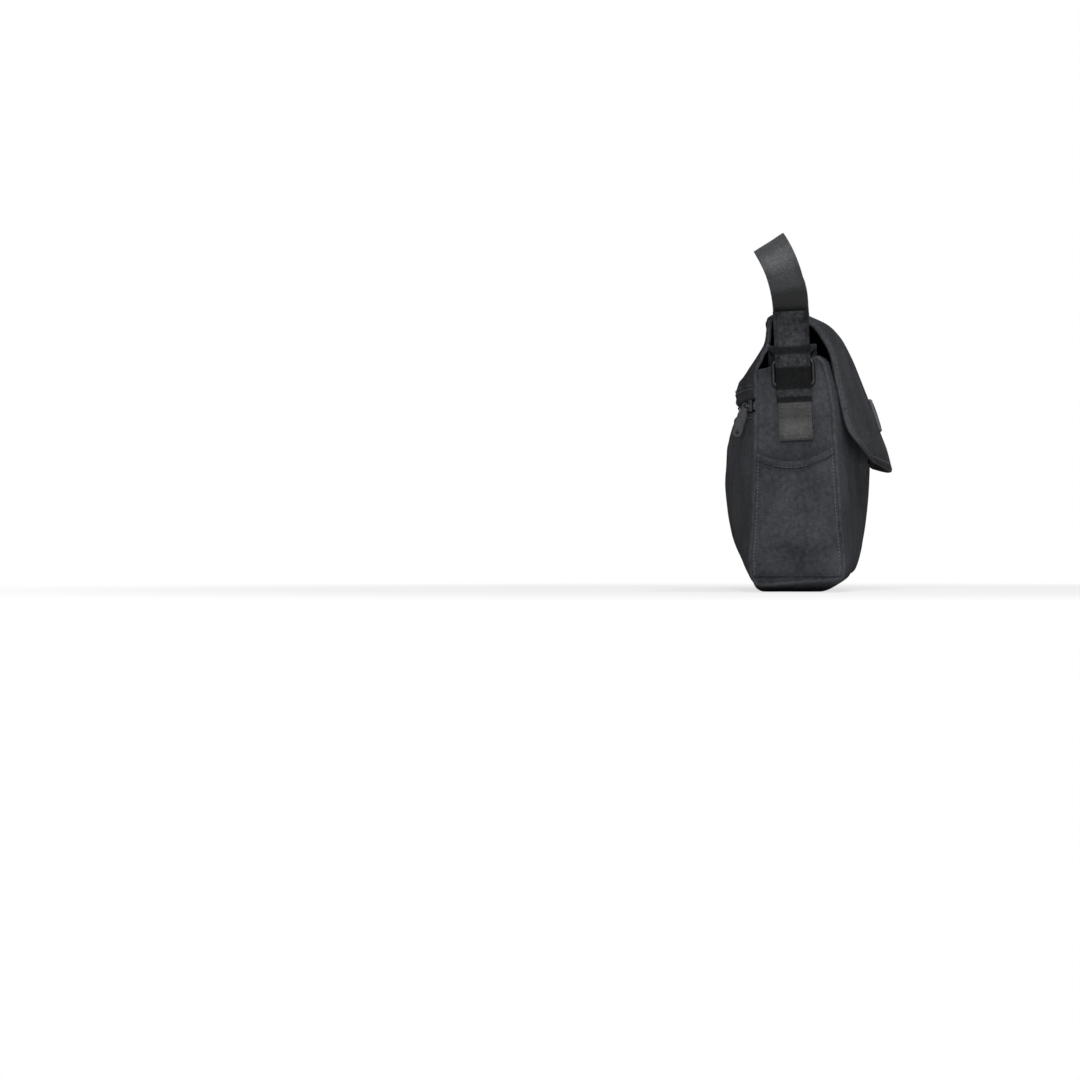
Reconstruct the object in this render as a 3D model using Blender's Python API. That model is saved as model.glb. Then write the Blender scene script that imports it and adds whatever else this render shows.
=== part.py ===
# Stroller organizer: a soft bag that hangs from the two side arms of a pushchair's handle.
# Metres, +Z up. X runs along the bag's width, the flap faces -Y, and the bag stands on its base.
# Depth below means distance towards the front, so a point's Y is minus its depth.

import math

import bmesh
import bpy
from mathutils import Matrix, Vector

MM = 0.001
GAP = 0.3 * MM  # air between pieces that touch

# Body
BAG_WIDTH = 330 * MM
HALF_WIDTH = BAG_WIDTH / 2
END_RISE = 30 * MM  # width of the strip at each end where the base lifts off the ground
PANEL = 2.5 * MM  # padded wall
LINING = 0.8 * MM
BOARD = 1.5 * MM
TAPE = 0.8 * MM  # hook tape, loop tape and zip tape

# Flap
FLAP_MARGIN = 13 * MM  # how far the flap's sides stop short of the bag's ends
FLAP_HALF = HALF_WIDTH - FLAP_MARGIN
FLAP_OUTER = 2.0 * MM
FLAP_CORNER = 28 * MM
FLAP_EDGE_RAILS = 0.5  # how many rails the lower edge climbs towards the flap's sides

# Label and flap fastener
LABEL_WIDTH = 56 * MM
LABEL_THICKNESS = 1.8 * MM
FASTENER_WIDTH = 60 * MM

# Zip
ZIP_HEIGHT = 127 * MM
ZIP_BAND = 20 * MM  # the back wall is upright this far above and below the zip
ZIP_WINDOW = 14 * MM
ZIP_SLIT = 1.6 * MM
ZIP_TAPE_WIDTH = 12 * MM
COIL_WIDTH = 1.9 * MM
COIL_DEPTH = 1.2 * MM
BACK_SEAM = -31.2 * MM  # depth of the upright band at the bag's ends
BACK_BULGE = 16.6 * MM  # how far the band stands out at mid width
SLIDER_LENGTH = 9 * MM
SLIDER_WIDTH = 8 * MM
SLIDER_PLATE = 1.1 * MM
SLIDER_CLEARANCE = 0.4 * MM
BRIDGE_WIDTH = 0.8 * MM
ARCH_LENGTH = 6.0 * MM
ARCH_RISE = 2.4 * MM
ARCH_BAR = 1.1 * MM
ARCH_WIDTH = 1.6 * MM
SLIDER_INSET = 17 * MM  # from the bag's end to the slider's middle
PULL_LENGTH = 22 * MM  # from the arch's bar to the pull's lower end
PULL_WIDTH = 6.4 * MM
PULL_THICKNESS = 1.2 * MM
PULL_TILT = math.radians(17)
PULL_EYE = 1.35 * MM  # radius of the eye round the arch's bar, and of the hole low in the pull
PULL_RIM = 0.9 * MM
STOP_LENGTH = 2.2 * MM
ZIP_POCKET_SHEET = 0.5 * MM
ZIP_POCKET_MARGIN = 12 * MM  # how far the zip pocket's ends stop short of the bag's
ZIP_POCKET_DEPTH = 1.9  # rails from the zip pocket's floor up to the band

# Straps. Out is the distance outwards from the gusset's outer face.
WEBBING = 1.4 * MM
STRAP_WIDTH = 25 * MM
STRAP_FOOT = 103 * MM  # height of the closure strap's stitched end
STRAP_DEPTH = -2.3 * MM
STRAP_LEAN = math.radians(2.5)
STRAP_STRAIGHT = 88 * MM
STRAP_BEND_RADIUS = 91 * MM
BAR_RADIUS = 16.5 * MM
BAR_CLEARANCE = 0.6 * MM
BAR_OUT = 8 * MM  # how far the bar's middle stands out from the gusset
BAR_RISE = 118.7 * MM  # the bar's middle, measured up the strap from its foot
PATCH_LENGTH = 27 * MM
RING_COVER = 30 * MM  # length of the closure strap that lies over the ring
OVERLAP_END = 87.4 * MM  # the closure strap's free end, measured up from its foot
HANDLE_START = 61.5 * MM
HANDLE_FLARE = ((0.0, 0.0), (0.8 * MM, 12 * MM), (3.6 * MM, 25 * MM), (10.5 * MM, 38 * MM))  # (out, rise)
RING_WIDTH = 30 * MM
RING_HEIGHT = 19 * MM
RING_WIRE = 3 * MM
RING_CORNER = 2.5 * MM
RING_RISE = 46 * MM  # the ring's middle, measured up the strap from its foot
TAB = 1.0 * MM
TAB_TOP = 168 * MM
TAB_WIDE = 33 * MM
TAB_WIDE_POINTS = 9  # points of the tab's band above the part that goes through the ring
TAB_NARROW = RING_WIDTH - RING_WIRE - 2 * RING_CORNER - 2 * GAP

# Side pockets
POCKET = 1.3 * MM
POCKET_SEAM = 1.5 * MM
POCKET_FLOOR = 10.5 * MM
POCKET_BACK = 94.5 * MM
POCKET_FRONT = 99 * MM
POCKET_SCOOP = 8 * MM
POCKET_MOUTH = 6 * MM  # how far the mouth stands off the gusset
POCKET_BELLY = 9 * MM
POCKET_BELLY_HEIGHT = 48 * MM

BAND_LOW = ZIP_HEIGHT - ZIP_BAND
BAND_HIGH = ZIP_HEIGHT + ZIP_BAND
BACK_MIDDLE = BACK_SEAM - BACK_BULGE
TAPE_INSET = PANEL + GAP
COIL_INSET = TAPE_INSET - GAP - COIL_DEPTH
BEHIND_TAPE = TAPE_INSET + TAPE

# Strap ends: angles round the bar are measured from straight out
LOOP_FIRST = math.radians(-25)
LOOP_LAST = math.radians(188)
INNER_FOOT = 32 * MM  # rise of the ends sewn to the inside of the gusset

# A rail runs along the width. It is given by its depth and height at the bag's end, then at mid width.
FRONT_RAILS = [
    (13.6 * MM, 161 * MM, 28 * MM, 160 * MM),
    (18.5 * MM, 152 * MM, 34 * MM, 152 * MM),
    (23.5 * MM, 127 * MM, 43 * MM, 127 * MM),
    (25.4 * MM, 98 * MM, 47 * MM, 98 * MM),
    (28.6 * MM, 50 * MM, 44.5 * MM, 50 * MM),
    (31.0 * MM, 24 * MM, 40 * MM, 24 * MM),
    (30.5 * MM, 11.5 * MM, 34.5 * MM, 12 * MM),
]
BASE_RAILS = [
    (25 * MM, 7.5 * MM, 25 * MM, 4.5 * MM),
    (14 * MM, 6.5 * MM, 14 * MM, 0.0),
    (-6 * MM, 5 * MM, -6 * MM, 0.0),
    (-25 * MM, 3.7 * MM, -25 * MM, 0.0),
    (-32 * MM, 7 * MM, -34 * MM, 6 * MM),
]
BACK_RAILS = [
    (-34.5 * MM, 20 * MM, -43 * MM, 22 * MM),
    (-33 * MM, 42 * MM, -51 * MM, 42 * MM),
    (-31.5 * MM, 75 * MM, -55.5 * MM, 75 * MM),
    (BACK_SEAM, BAND_LOW, BACK_MIDDLE, BAND_LOW),
]
YOKE_RAILS = [
    (BACK_SEAM, BAND_HIGH, BACK_MIDDLE, BAND_HIGH),
    (-30.8 * MM, 154 * MM, -46.5 * MM, 154 * MM),
    (-29.5 * MM, 170 * MM, -42.5 * MM, 170 * MM),
]
FLAP_RAILS = [
    (-26 * MM, 180 * MM, -36.5 * MM, 182 * MM),
    (-16 * MM, 186.5 * MM, -22.5 * MM, 192 * MM),
    (-3 * MM, 188 * MM, -5 * MM, 196 * MM),
    (8 * MM, 184 * MM, 11 * MM, 192.5 * MM),
    (14.5 * MM, 175 * MM, 25.5 * MM, 183 * MM),
    (20.4 * MM, 162 * MM, 35 * MM, 164.5 * MM),
    (23.2 * MM, 144 * MM, 44.2 * MM, 144 * MM),
    (26.4 * MM, 127 * MM, 51.8 * MM, 127 * MM),
    (30.6 * MM, 112 * MM, 56.5 * MM, 112 * MM),
    (40 * MM, 98 * MM, 60.5 * MM, 98 * MM),
    (46 * MM, 85 * MM, 64 * MM, 84.5 * MM),
]

FRONT_END = len(FRONT_RAILS) - 1
BASE_END = FRONT_END + len(BASE_RAILS)
BAND_RAIL = BASE_END + len(BACK_RAILS)
LOWER_RAILS = FRONT_RAILS + BASE_RAILS + BACK_RAILS + YOKE_RAILS[:1]
UPPER_RAILS = BACK_RAILS[-1:] + YOKE_RAILS
GUSSET_TOP_RAIL = 2
BASE_PLACES = (6, 6.33, 6.67, 7, 7.5, 8, 9, 10, 10.33, 10.67, 11)  # none between the level rails
FLAP_EDGE_PLACES = (0.5, 1.0, 1.4, 1.7, 1.9, 2.0)  # rails past the start of the rounded corners
LABEL_PLACES = (8.5, 9.93)
FLAP_HOOK_PLACES = (10.2, 11.3)
FRONT_LOOP_PLACES = (2.5, 3.2)
WHOLE_FLAP_RAILS = YOKE_RAILS[1:] + FLAP_RAILS
FLAP_CORNER_RAIL = len(WHOLE_FLAP_RAILS) - 3
FLAP_LAST = len(WHOLE_FLAP_RAILS) - 1

FABRIC = (0.035, 0.037, 0.041, 1)
DARK_FABRIC = (0.018, 0.019, 0.021, 1)
WEBBING_COLOUR = (0.022, 0.025, 0.026, 1)
METAL = (0.05, 0.052, 0.056, 1)
PLASTIC = (0.012, 0.012, 0.013, 1)
BOARD_COLOUR = (0.06, 0.06, 0.06, 1)


def clear_scene():
    for obj in list(bpy.data.objects):
        bpy.data.objects.remove(obj)


def make_material(name, colour, roughness, metallic=0.0):
    material = bpy.data.materials.new(name)
    material.use_nodes = True
    shader = material.node_tree.nodes["Principled BSDF"]
    shader.inputs["Base Color"].default_value = colour
    shader.inputs["Roughness"].default_value = roughness
    shader.inputs["Metallic"].default_value = metallic
    return material


def add_object(name, mesh_builder, material):
    mesh = bpy.data.meshes.new(name)
    bmesh.ops.recalc_face_normals(mesh_builder, faces=mesh_builder.faces)
    mesh_builder.to_mesh(mesh)
    mesh_builder.free()
    mesh.materials.append(material)
    obj = bpy.data.objects.new(name, mesh)
    bpy.context.scene.collection.objects.link(obj)
    return obj


# Section of the bag
def belly(x):
    return 1 - (x / HALF_WIDTH) ** 2


def levelness(x):
    share = (abs(x) - (HALF_WIDTH - END_RISE)) / END_RISE
    share = min(max(share, 0.0), 1.0)
    return 1 - share * share * (3 - 2 * share)


def rail_point(rail, x):
    end_depth, end_height, mid_depth, mid_height = rail
    depth = end_depth + (mid_depth - end_depth) * belly(x)
    height = end_height + (mid_height - end_height) * levelness(x)
    return Vector((depth, height))


def spline(points, at):
    index = min(int(at), len(points) - 2)
    t = at - index
    p1, p2 = points[index], points[index + 1]
    p0 = points[index - 1] if index > 0 else p1 * 2 - p2
    p3 = points[index + 2] if index + 2 < len(points) else p2 * 2 - p1
    a = p1 * 2
    b = (p2 - p0) * t
    c = (p0 * 2 - p1 * 5 + p2 * 4 - p3) * t ** 2
    d = (p1 * 3 - p0 - p2 * 3 + p3) * t ** 3
    return (a + b + c + d) / 2


def section_point(rails, x, at, inset, slide=0.0):
    """A point of the outer skin, moved inwards by inset and along the section by slide."""
    points = [rail_point(rail, x) for rail in rails]
    step = 0.02
    here = spline(points, at)
    ahead = spline(points, min(at + step, len(points) - 1.0))
    behind = spline(points, max(at - step, 0.0))
    tangent = (ahead - behind).normalized()
    inwards = Vector((tangent.y, -tangent.x))
    moved = here + tangent * slide + inwards * inset
    return Vector((x, -moved.x, moved.y))


def band_point(x, height, inset):
    """A point on the upright band of the back wall that carries the zip."""
    depth = BACK_SEAM - BACK_BULGE * belly(x)
    return Vector((x, -(depth + inset), height))


def stations(half):
    shares = (0.2, 0.4, 0.6, 0.8, 0.92, 1.0)
    right = [half * share for share in shares]
    return [-x for x in reversed(right)] + [0.0] + right


def steps(first, last, count):
    return [first + (last - first) * i / count for i in range(count + 1)]


def quad_grid(builder, grid):
    rows = [[builder.verts.new(point) for point in row] for row in grid]
    for low, high in zip(rows, rows[1:]):
        for i in range(len(low) - 1):
            builder.faces.new((low[i], low[i + 1], high[i + 1], high[i]))
    return rows


def close_rims(builder, outer, inner):
    outer_loop = outer[0] + [row[-1] for row in outer[1:]]
    outer_loop += outer[-1][-2::-1] + [row[0] for row in outer[-2:0:-1]]
    inner_loop = inner[0] + [row[-1] for row in inner[1:]]
    inner_loop += inner[-1][-2::-1] + [row[0] for row in inner[-2:0:-1]]
    count = len(outer_loop)
    for i in range(count):
        j = (i + 1) % count
        builder.faces.new((outer_loop[i], outer_loop[j], inner_loop[j], inner_loop[i]))


def slab(name, outer_grid, inner_grid, material):
    builder = bmesh.new()
    outer = quad_grid(builder, outer_grid)
    inner = quad_grid(builder, inner_grid)
    close_rims(builder, outer, inner)
    return add_object(name, builder, material)


def section_slab(name, rails, rows, half, insets, material):
    """A wall that follows the section."""
    outer, inner = [section_grid(rails, rows, half, inset) for inset in insets]
    return slab(name, outer, inner, material)


def trimmed_rows(places):
    rows = [(at, 0.0) for at in places]
    rows[0] = (places[0], GAP / 2)
    rows[-1] = (places[-1], -GAP / 2)
    return rows


def section_grid(rails, rows, half, inset):
    """Points of a wall. Each row is (place along the rails, slide)."""
    grid = []
    for at, slide in rows:
        grid.append([section_point(rails, x, at, inset, slide) for x in stations(half)])
    return grid


def extrude_outline(name, outline, move, material):
    """A closed outline of points, extruded by the vector move."""
    builder = bmesh.new()
    near = [builder.verts.new(point) for point in outline]
    far = [builder.verts.new(point + move) for point in outline]
    builder.faces.new(near)
    builder.faces.new(list(reversed(far)))
    count = len(near)
    for i in range(count):
        j = (i + 1) % count
        builder.faces.new((near[i], near[j], far[j], far[i]))
    return add_object(name, builder, material)


# Body walls
def gusset_outline(x):
    rows = steps(0, BAND_RAIL, 42)
    inset = PANEL + GAP
    points = [section_point(LOWER_RAILS, x, at, inset) for at in rows]
    top = section_point(UPPER_RAILS, x, GUSSET_TOP_RAIL, inset)
    return points + [top]


def make_gussets(material):
    for name, side in (("gusset_near", -1), ("gusset_far", 1)):
        outline = gusset_outline(side * HALF_WIDTH)
        extrude_outline(name, outline, Vector((-side * PANEL, 0, 0)), material)


def band_rows(heights, inset):
    return [[band_point(x, height, inset) for x in stations(HALF_WIDTH)] for height in heights]


def make_body(material):
    insets = (0.0, PANEL)
    front_rows = trimmed_rows(steps(0, FRONT_END, 14))
    section_slab("front_panel", LOWER_RAILS, front_rows, HALF_WIDTH, insets, material)
    section_slab("base_panel", LOWER_RAILS, trimmed_rows(BASE_PLACES), HALF_WIDTH, insets, material)
    back_rows = trimmed_rows(steps(BASE_END, BAND_RAIL, 9))[:-1]
    yoke_rows = trimmed_rows(steps(1, len(UPPER_RAILS) - 1, 4))[1:]
    under_zip = (BAND_LOW, ZIP_HEIGHT - ZIP_WINDOW / 2)
    over_zip = (ZIP_HEIGHT + ZIP_WINDOW / 2, BAND_HIGH)
    back_grids = []
    yoke_grids = []
    for inset in insets:
        rising = section_grid(LOWER_RAILS, back_rows, HALF_WIDTH, inset)
        back_grids.append(rising + band_rows(under_zip, inset))
        rising = section_grid(UPPER_RAILS, yoke_rows, HALF_WIDTH, inset)
        yoke_grids.append(band_rows(over_zip, inset) + rising)
    slab("back_panel", back_grids[0], back_grids[1], material)
    slab("back_yoke", yoke_grids[0], yoke_grids[1], material)


def lining_inset(at):
    """The lining lies on the walls, on the board and, at the back, on the zip pocket."""
    front = PANEL + GAP
    base = PANEL + BOARD + 2 * GAP + 0.3 * MM
    back = BEHIND_TAPE + SLIDER_PLATE + SLIDER_CLEARANCE + 2.2 * MM
    if at <= FRONT_END:
        share = max(at - FRONT_END + 2, 0) / 2
        return front + (base - front) * share
    share = min(max(at - BASE_END + 1, 0) / 2, 1)
    return base + (back - base) * share


def make_lining(material):
    half = HALF_WIDTH - PANEL - 2 * GAP - TAB - WEBBING - 2 * GAP
    places = steps(1, BAND_RAIL, 30)
    builder = bmesh.new()
    loops = []
    for extra, reach in ((0.0, half), (LINING, half - LINING)):
        grid = []
        for at in places:
            inset = lining_inset(at) + extra
            grid.append([section_point(LOWER_RAILS, x, at, inset) for x in stations(reach)])
        inset = lining_inset(BAND_RAIL) + extra
        grid.append([band_point(x, BAND_HIGH, inset) for x in stations(reach)])
        rows = quad_grid(builder, grid)
        builder.faces.new([row[0] for row in rows])
        builder.faces.new([row[-1] for row in reversed(rows)])
        loops.append(rows[0] + list(reversed(rows[-1])))
    outer, inner = loops
    count = len(outer)
    for i in range(count):
        j = (i + 1) % count
        builder.faces.new((outer[i], outer[j], inner[j], inner[i]))
    add_object("main_lining", builder, material)


def make_base_board(material):
    half = HALF_WIDTH - END_RISE - 5 * MM
    front = BASE_RAILS[1][2] - 2 * MM
    back = BASE_RAILS[3][2] + 2 * MM
    low = PANEL + GAP
    corners = [(-half, front), (half, front), (half, back), (-half, back)]
    outline = [Vector((x, -depth, low)) for x, depth in corners]
    extrude_outline("base_board", outline, Vector((0, 0, BOARD)), material)


# Flap
def flap_half(at):
    past = max(at - FLAP_CORNER_RAIL, 0) / (FLAP_LAST - FLAP_CORNER_RAIL)
    return FLAP_HALF - FLAP_CORNER * (1 - math.sqrt(max(1 - past * past, 0)))


def flap_place(at, x):
    """The flap's lower edge is bowed: it climbs towards the sides."""
    past = max(at - FLAP_CORNER_RAIL, 0) / (FLAP_LAST - FLAP_CORNER_RAIL)
    return at - FLAP_EDGE_RAILS * past * (x / FLAP_HALF) ** 2


def flap_grid(inset):
    places = steps(1, FLAP_CORNER_RAIL, 18)
    places += [FLAP_CORNER_RAIL + past for past in FLAP_EDGE_PLACES]
    grid = []
    for at in places:
        slide = GAP / 2 if at == 1 else 0.0
        xs = stations(flap_half(at))
        grid.append([section_point(WHOLE_FLAP_RAILS, x, flap_place(at, x), inset, slide) for x in xs])
    return grid


def make_flap(fabric, dark):
    slab("flap_outer", flap_grid(0.0), flap_grid(FLAP_OUTER), fabric)
    low = FLAP_OUTER + GAP
    slab("flap_lining", flap_grid(low), flap_grid(low + LINING), dark)


def patch(name, rails, places, width, insets, material):
    xs = steps(-width / 2, width / 2, 4)
    places = steps(places[0], places[1], 4)
    grids = [[[section_point(rails, x, at, inset) for x in xs] for at in places] for inset in insets]
    slab(name, grids[0], grids[1], material)


def make_flap_patches(label, tape):
    over = (-GAP - LABEL_THICKNESS, -GAP)
    patch("label_patch", WHOLE_FLAP_RAILS, LABEL_PLACES, LABEL_WIDTH, over, label)
    lining_face = FLAP_OUTER + GAP + LINING + GAP
    under = (lining_face, lining_face + TAPE)
    patch("flap_hook_patch", WHOLE_FLAP_RAILS, FLAP_HOOK_PLACES, FASTENER_WIDTH, under, tape)
    over = (-GAP - TAPE, -GAP)
    patch("front_loop_patch", LOWER_RAILS, FRONT_LOOP_PLACES, FASTENER_WIDTH, over, tape)


# Zip
def band_slab(name, low, high, near, far, insets, material):
    xs = [x for x in stations(HALF_WIDTH) if near < x < far]
    xs = [near] + xs + [far]
    grids = [[[band_point(x, height, inset) for x in xs] for height in (low, high)] for inset in insets]
    slab(name, grids[0], grids[1], material)


def make_zip_tapes(tape, coil):
    tape_end = HALF_WIDTH - PANEL - 2 * GAP
    coil_end = HALF_WIDTH - SLIDER_INSET + SLIDER_LENGTH / 2 + 2 * MM
    for name, side in (("lower", -1), ("upper", 1)):
        edges = sorted((side * ZIP_SLIT / 2, side * (ZIP_SLIT / 2 + ZIP_TAPE_WIDTH)))
        low, high = (ZIP_HEIGHT + edge for edge in edges)
        band_slab("zip_tape_" + name, low, high, -tape_end, tape_end, (TAPE_INSET, BEHIND_TAPE), tape)
        edges = sorted((side * ZIP_SLIT / 2, side * (ZIP_SLIT / 2 + COIL_WIDTH)))
        low, high = (ZIP_HEIGHT + edge for edge in edges)
        insets = (COIL_INSET, COIL_INSET + COIL_DEPTH)
        band_slab("zip_coil_" + name, low, high, -coil_end, coil_end, insets, coil)
    reach = ZIP_SLIT / 2 + COIL_WIDTH
    for name, side in (("start", -1), ("end", 1)):
        near, far = sorted((side * (coil_end + GAP), side * (coil_end + GAP + STOP_LENGTH)))
        insets = (COIL_INSET, COIL_INSET + COIL_DEPTH)
        band_slab("zip_stop_" + name, ZIP_HEIGHT - reach, ZIP_HEIGHT + reach, near, far, insets, coil)


def slider_frame():
    """Where the slider sits on the zip's arc: X along the zip, Y outwards and Z up."""
    x = -(HALF_WIDTH - SLIDER_INSET)
    place = band_point(x, ZIP_HEIGHT, 0.0)
    radius = HALF_WIDTH ** 2 / (2 * BACK_BULGE) + BACK_BULGE / 2
    turn = math.asin(-x / radius)
    return Matrix.Translation(place) @ Matrix.Rotation(turn, 4, "Z")


def slider_outline():
    """The slider from its end: an outer plate, a bridge through the slit and an inner plate."""
    top = -COIL_INSET + SLIDER_CLEARANCE
    bottom = -BEHIND_TAPE - SLIDER_CLEARANCE
    wide = SLIDER_WIDTH / 2
    thin = BRIDGE_WIDTH / 2
    right = [
        (wide, top + SLIDER_PLATE),
        (wide, top),
        (thin, top),
        (thin, bottom),
        (wide - 1 * MM, bottom),
        (wide - 1 * MM, bottom - SLIDER_PLATE),
    ]
    left = [(-height, out) for height, out in reversed(right)]
    return right + left


def make_slider(material):
    frame = slider_frame()
    half = SLIDER_LENGTH / 2
    outline = [Vector((-half, out, height)) for height, out in slider_outline()]
    body = extrude_outline("zip_slider", outline, Vector((SLIDER_LENGTH, 0, 0)), material)
    face = -COIL_INSET + SLIDER_CLEARANCE + SLIDER_PLATE
    sunk = face - 0.4 * MM
    reach = ARCH_LENGTH / 2
    inner = reach - ARCH_BAR
    outline = [
        (-reach, sunk),
        (-inner, sunk),
        (-inner, face + ARCH_RISE),
        (inner, face + ARCH_RISE),
        (inner, sunk),
        (reach, sunk),
        (reach, face + ARCH_RISE + 0.4 * MM),
        (inner, face + ARCH_RISE + ARCH_BAR),
        (-inner, face + ARCH_RISE + ARCH_BAR),
        (-reach, face + ARCH_RISE + 0.4 * MM),
    ]
    points = [Vector((along, out, -ARCH_WIDTH / 2)) for along, out in outline]
    arch = extrude_outline("zip_arch_guide", points, Vector((0, 0, ARCH_WIDTH)), material)
    arch.hide_render = True
    arch.display_type = "WIRE"
    body.matrix_world = frame
    arch.matrix_world = frame
    union = body.modifiers.new("arch", "BOOLEAN")
    union.operation = "UNION"
    union.solver = "EXACT"
    union.object = arch


def pull_frame():
    """The pull's eye goes round the arch's bar, and the pull hangs edge on to the bag, tilted outwards."""
    face = -COIL_INSET + SLIDER_CLEARANCE + SLIDER_PLATE
    out = face + ARCH_RISE + ARCH_BAR / 2
    tilt = Matrix.Rotation(PULL_TILT, 4, "X")
    return slider_frame() @ Matrix.Translation((0, out, 0)) @ tilt


def arc(middle, radius, first, last, count):
    points = []
    for angle in steps(first, last, count):
        points.append((radius * math.cos(angle), middle + radius * math.sin(angle)))
    return points


def make_pull(material):
    half = PULL_WIDTH / 2
    head = PULL_EYE + PULL_RIM
    low = half - PULL_LENGTH
    shoulder = -2.6 * head
    outline = arc(0, head, -math.pi / 5, math.pi * 6 / 5, 12) + [(-half, shoulder)]
    outline += arc(low, half, math.pi, math.pi * 2, 10) + [(half, shoulder)]
    points = [Vector((-PULL_THICKNESS / 2, out, height)) for out, height in outline]
    pull = extrude_outline("zip_pull", points, Vector((PULL_THICKNESS, 0, 0)), material)
    builder = bmesh.new()
    for height in (0, low):
        bmesh.ops.create_cone(
            builder, cap_ends=True, segments=16, radius1=PULL_EYE, radius2=PULL_EYE, depth=4 * PULL_THICKNESS,
            matrix=Matrix.Translation((0, 0, height)) @ Matrix.Rotation(math.pi / 2, 4, "Y"),
        )
    cutter = add_object("zip_pull_cutter", builder, material)
    cutter.hide_render = True
    cutter.display_type = "WIRE"
    pull.matrix_world = pull_frame()
    cutter.matrix_world = pull_frame()
    cut = pull.modifiers.new("eye", "BOOLEAN")
    cut.operation = "DIFFERENCE"
    cut.solver = "EXACT"
    cut.object = cutter


def make_zip_pocket_bag(material):
    """A flat bag behind the zip. One sheet hangs from the lower tape, the other from the upper."""
    half = HALF_WIDTH - ZIP_POCKET_MARGIN
    near = BEHIND_TAPE + GAP
    thin = ZIP_POCKET_SHEET
    far = BEHIND_TAPE + SLIDER_CLEARANCE + SLIDER_PLATE + GAP
    places = steps(BAND_RAIL - ZIP_POCKET_DEPTH, BAND_RAIL, 5)
    front_top = ZIP_HEIGHT - SLIDER_WIDTH / 2 - 1 * MM
    back_top = ZIP_HEIGHT + ZIP_TAPE_WIDTH

    def leg(inset, top, lift):
        rows = [[section_point(LOWER_RAILS, x, at, inset) for x in stations(half)] for at in places]
        rows[0] = [point + Vector((0, 0, lift)) for point in rows[0]]
        return rows + [[band_point(x, top, inset) for x in stations(half)]]

    outside = leg(near, front_top, 0)[::-1] + leg(far + thin, back_top, 0)
    inside = leg(near + thin, front_top, thin)[::-1] + leg(far, back_top, thin)
    slab("zip_pocket_bag", outside, inside, material)


# Side pockets
def seam_depth(first, last, height):
    """Depth of the section at the bag's end, on the stretch of rails first to last, at a height."""
    def end_point(at):
        return section_point(LOWER_RAILS, HALF_WIDTH, at, 0)

    low, high = first, last
    rising = end_point(last).z > end_point(first).z
    for _ in range(30):
        middle = (low + high) / 2
        if (end_point(middle).z > height) == rising:
            high = middle
        else:
            low = middle
    return -end_point(low).y


def pocket_point(side, across, up, lift):
    """A point of the pocket's cloth: across runs back to front, up from the floor to the hem."""
    brim = POCKET_BACK + (POCKET_FRONT - POCKET_BACK) * across
    brim -= POCKET_SCOOP * 4 * across * (1 - across)
    height = POCKET_FLOOR + (brim - POCKET_FLOOR) * up
    front = seam_depth(0, FRONT_END, height) - PANEL - POCKET_SEAM
    back = seam_depth(BASE_END, BAND_RAIL, height) + PANEL + POCKET_SEAM
    depth = back + (front - back) * across
    rise = (height - POCKET_FLOOR) / (POCKET_BELLY_HEIGHT - POCKET_FLOOR)
    if rise < 1:
        stand = POCKET_BELLY * math.sin(rise * math.pi / 2) ** 0.8
    else:
        share = (height - POCKET_BELLY_HEIGHT) / (POCKET_FRONT - POCKET_BELLY_HEIGHT)
        stand = POCKET_BELLY + (POCKET_MOUTH - POCKET_BELLY) * share
    crown = 1 - abs(2 * across - 1) ** 3
    out = GAP + stand * crown + lift
    return Vector((side * (HALF_WIDTH + out), -depth, height))


def make_side_pockets(material):
    for name, side in (("side_pocket_near", -1), ("side_pocket_far", 1)):
        shares = (0, 0.07, 0.16, 0.3, 0.5, 0.7, 0.84, 0.93, 1)
        heights = (0, 0.04, 0.1, 0.2, 0.35, 0.55, 0.8, 1)
        inner = [[pocket_point(side, a, u, 0.0) for a in shares] for u in heights]
        outer = [[pocket_point(side, a, u, POCKET) for a in shares] for u in heights]
        slab(name, outer, inner, material)


# Straps
def spine(rise):
    """The strap seen from the bag's end: depth, height and lean at a length measured from its foot."""
    straight = min(rise, STRAP_STRAIGHT)
    depth = STRAP_DEPTH - straight * math.sin(STRAP_LEAN)
    height = STRAP_FOOT + straight * math.cos(STRAP_LEAN)
    lean = STRAP_LEAN
    if rise > STRAP_STRAIGHT:
        lean = STRAP_LEAN + (rise - STRAP_STRAIGHT) / STRAP_BEND_RADIUS
        depth -= STRAP_BEND_RADIUS * (math.cos(STRAP_LEAN) - math.cos(lean))
        height += STRAP_BEND_RADIUS * (math.sin(lean) - math.sin(STRAP_LEAN))
    return depth, height, lean


def ribbon(name, side, path, widths, thickness, material):
    """A flat band. Each point of path is (distance out from the gusset, rise along the spine)."""
    centres = []
    across = []
    for out, rise in path:
        depth, height, lean = spine(rise)
        centres.append(Vector((side * (HALF_WIDTH + out), -depth, height)))
        across.append(Vector((0, -math.cos(lean), math.sin(lean))))
    builder = bmesh.new()
    rings = []
    last = len(centres) - 1
    for i, centre in enumerate(centres):
        tangent = (centres[min(i + 1, last)] - centres[max(i - 1, 0)]).normalized()
        normal = tangent.cross(across[i]).normalized() * thickness / 2
        edge = across[i] * widths[i] / 2
        corners = (edge + normal, normal - edge, -edge - normal, edge - normal)
        rings.append([builder.verts.new(centre + corner) for corner in corners])
    for near, far in zip(rings, rings[1:]):
        for i in range(4):
            j = (i + 1) % 4
            builder.faces.new((near[i], near[j], far[j], far[i]))
    builder.faces.new(rings[0])
    builder.faces.new(rings[-1][::-1])
    return add_object(name, builder, material)


def smooth_path(points, per_span):
    vectors = [Vector(point) for point in points]
    path = []
    for index in range(len(vectors) - 1):
        path += [tuple(spline(vectors, index + step / per_span)) for step in range(per_span)]
    return path + [tuple(vectors[-1])]


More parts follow.
